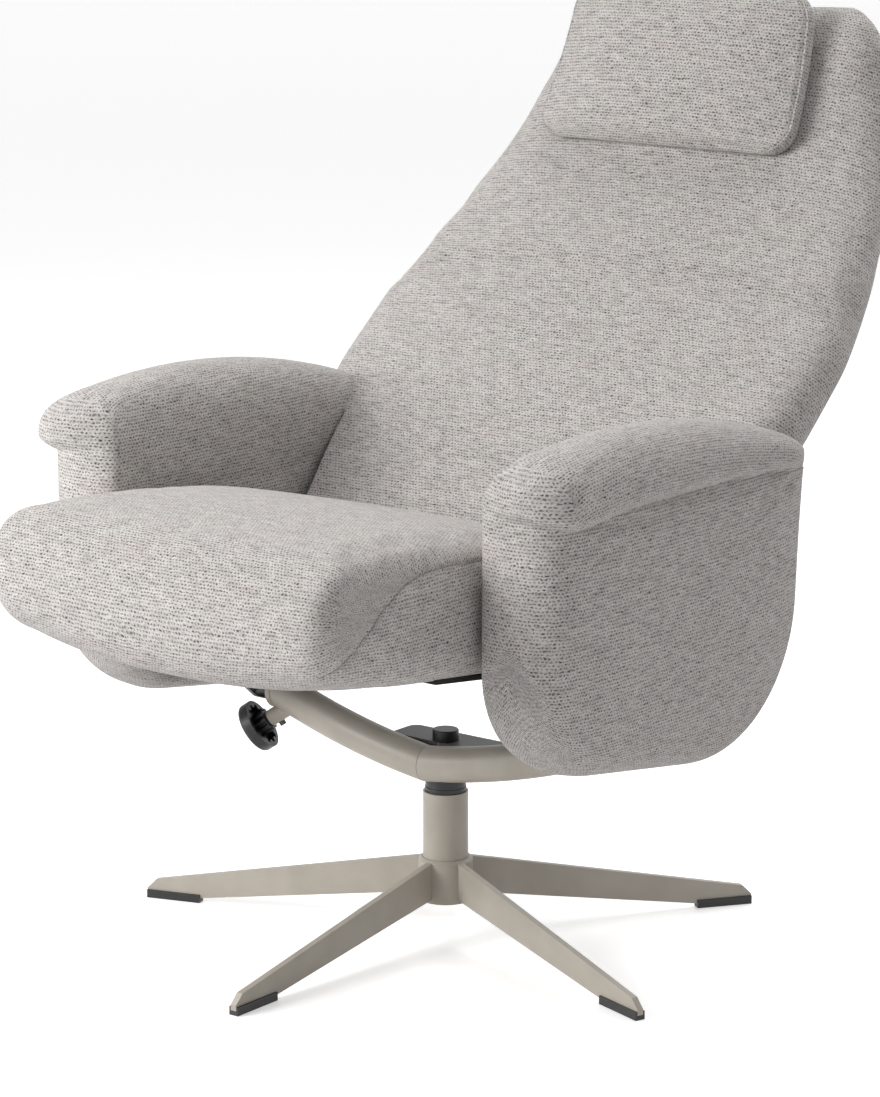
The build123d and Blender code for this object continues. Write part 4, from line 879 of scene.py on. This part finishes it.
# %% Head pillow
PILLOW_LOW, PILLOW_LONG = 0.517, 0.190
PILLOW_HALF_LOW, PILLOW_HALF_HIGH = 0.1720, 0.156
PILLOW_SHIFT = -0.014
PILLOW_CORNER, PILLOW_CLOSE = 0.034, 0.010
PILLOW_BORDER, PILLOW_SIDE = 0.017, 0.004
PILLOW_REST = -0.0012
PILLOW_FULL, FULL_FROM = 0.024, 0.055
PILLOW_WIDE_POINTS = 57

pillow_up = PILLOW_LONG * (1 - np.cos(np.linspace(0, np.pi, 50))) / 2
from_end = np.minimum(pillow_up, PILLOW_LONG - pillow_up)
pillow_half = PILLOW_HALF_LOW + (PILLOW_HALF_HIGH - PILLOW_HALF_LOW) * pillow_up / PILLOW_LONG
pillow_half = pillow_half - PILLOW_CORNER * (1 - bulge(from_end / PILLOW_CORNER, 2.0))
closing = bulge(from_end / PILLOW_CLOSE, 2.0)
middle_depth = PILLOW_REST - PILLOW_BORDER / 2
fullness = PILLOW_FULL * bulge(from_end / FULL_FROM, 2.0)
pillow_x, pillow_d = section_ring(
    pillow_half - PILLOW_SIDE, PILLOW_SIDE, middle_depth - PILLOW_BORDER / 2 * closing - fullness,
    fullness, middle_depth + PILLOW_BORDER / 2 * closing, PILLOW_WIDE_POINTS, 8, 3.4)
pillow_loops = on_back(pillow_x + PILLOW_SHIFT, PILLOW_LOW + pillow_up[:, None], pillow_d)
pillow_weave = unrolled(pillow_loops, PILLOW_WIDE_POINTS // 2) + PILLOW_CUT
column = np.arange(pillow_loops.shape[1])
on_front = column < PILLOW_WIDE_POINTS
sewn = (column == 0) | (column == PILLOW_WIDE_POINTS - 1)
pillow_hold = np.where(on_front & ~sewn, 0.0, 0.7) * np.ones((len(pillow_up), 1))
pillow_hold[:2] = pillow_hold[-2:] = 0.8
pillow_hold[:, (column >= PILLOW_WIDE_POINTS + 6) & (column < 2 * PILLOW_WIDE_POINTS + 6)] = 1.0
from_rim = (pillow_half - PILLOW_SIDE)[:, None] - np.abs(pillow_x)
pillow_seam = np.where(on_front, from_rim, np.where(column < PILLOW_WIDE_POINTS + 3, -0.004, -NO_SEAM))
pillow = build_cover("head_pillow_cover", pillow_loops, pillow_weave, pillow_hold, pillow_seam)
swell(pillow, slim=0.004, cap=0.006)
finish_cover(pillow, "headrest", "headrest_pillow", fill=0.6)

# %% [markdown]
# ## Floor, light and backdrop
# The picture is a studio packshot: a white sweep, one broad soft light in front on the viewer's left, a second one
# high behind the chair and weak fill. The floor answers the camera with nearly white and keeps a pale shadow and
# a faint mirror image.

# %% Floor and backdrop
FLOOR_REACH = 30.0
FLOOR_GLOW = 0.42
AMBIENT = 0.27
floor_mesh = bpy.data.meshes.new("floor")
floor_mesh.from_pydata(
    [(-FLOOR_REACH, -FLOOR_REACH, 0), (FLOOR_REACH, -FLOOR_REACH, 0),
     (FLOOR_REACH, FLOOR_REACH, 0), (-FLOOR_REACH, FLOOR_REACH, 0)], [], [(0, 1, 2, 3)])
floor = bpy.data.objects.new("floor", floor_mesh)
bpy.context.scene.collection.objects.link(floor)

sweep, tree, shader = start_material("white_paper_sweep")
shader.inputs["Base Color"].default_value = linear("#f4f4f4")
shader.inputs["Roughness"].default_value = 0.28


def seen_rays(tree):
    """1 for rays that show a background: from the camera, off a glossy surface or through glass."""
    path = add(tree, "LightPath").outputs
    plain = add(tree, "Math", {0: path["Is Camera Ray"], 1: path["Is Glossy Ray"]}, operation="MAXIMUM").outputs[0]
    return add(tree, "Math", {0: plain, 1: path["Is Transmission Ray"]}, operation="MAXIMUM").outputs[0]


glow = add(tree, "Emission", {"Color": (1, 1, 1, 1), "Strength": FLOOR_GLOW})
lit = add(tree, "AddShader", {0: shader.outputs[0], 1: glow.outputs[0]})
picked = add(tree, "MixShader", {"Fac": seen_rays(tree), 1: shader.outputs[0], 2: lit.outputs[0]})
tree.links.new(picked.outputs[0], tree.nodes["Material Output"].inputs["Surface"])
floor_mesh.materials.append(sweep)

world = bpy.data.worlds.new("studio")
bpy.context.scene.world = world
world.use_nodes = True
tree = world.node_tree
tree.nodes.clear()
ambient = add(tree, "Background", {"Color": (1, 1, 1, 1), "Strength": AMBIENT})
white = add(tree, "Background", {"Color": (1, 1, 1, 1), "Strength": 1.0})
both = add(tree, "MixShader", {"Fac": seen_rays(tree), 1: ambient.outputs[0], 2: white.outputs[0]})
add(tree, "OutputWorld", {"Surface": both.outputs[0]})
print("floor", 2 * FLOOR_REACH, "m wide, ambient light", AMBIENT)

# %% Lamps


def soft_box(name, place, aim, size, power):
    """A square area lamp at a place, pointed at a target."""
    lamp = bpy.data.lights.new(name, "AREA")
    lamp.size = size
    lamp.energy = power
    made = bpy.data.objects.new(name, lamp)
    made.location = place
    made.rotation_euler = (Vector(aim) - Vector(place)).to_track_quat("-Z", "Y").to_euler()
    bpy.context.scene.collection.objects.link(made)


soft_box("key", (-1.3, -2.0, 1.45), (0, -0.2, 0.5), 1.4, 72)
soft_box("fill", (3.2, -1.6, 1.8), (0, 0, 0.5), 2.4, 12)
soft_box("top", (0.0, 1.7, 3.0), (0, 0, 0.4), 2.4, 84)
print("lamps", [lamp.name for lamp in bpy.data.lights])

bpy.context.scene.view_settings.view_transform = "Standard"
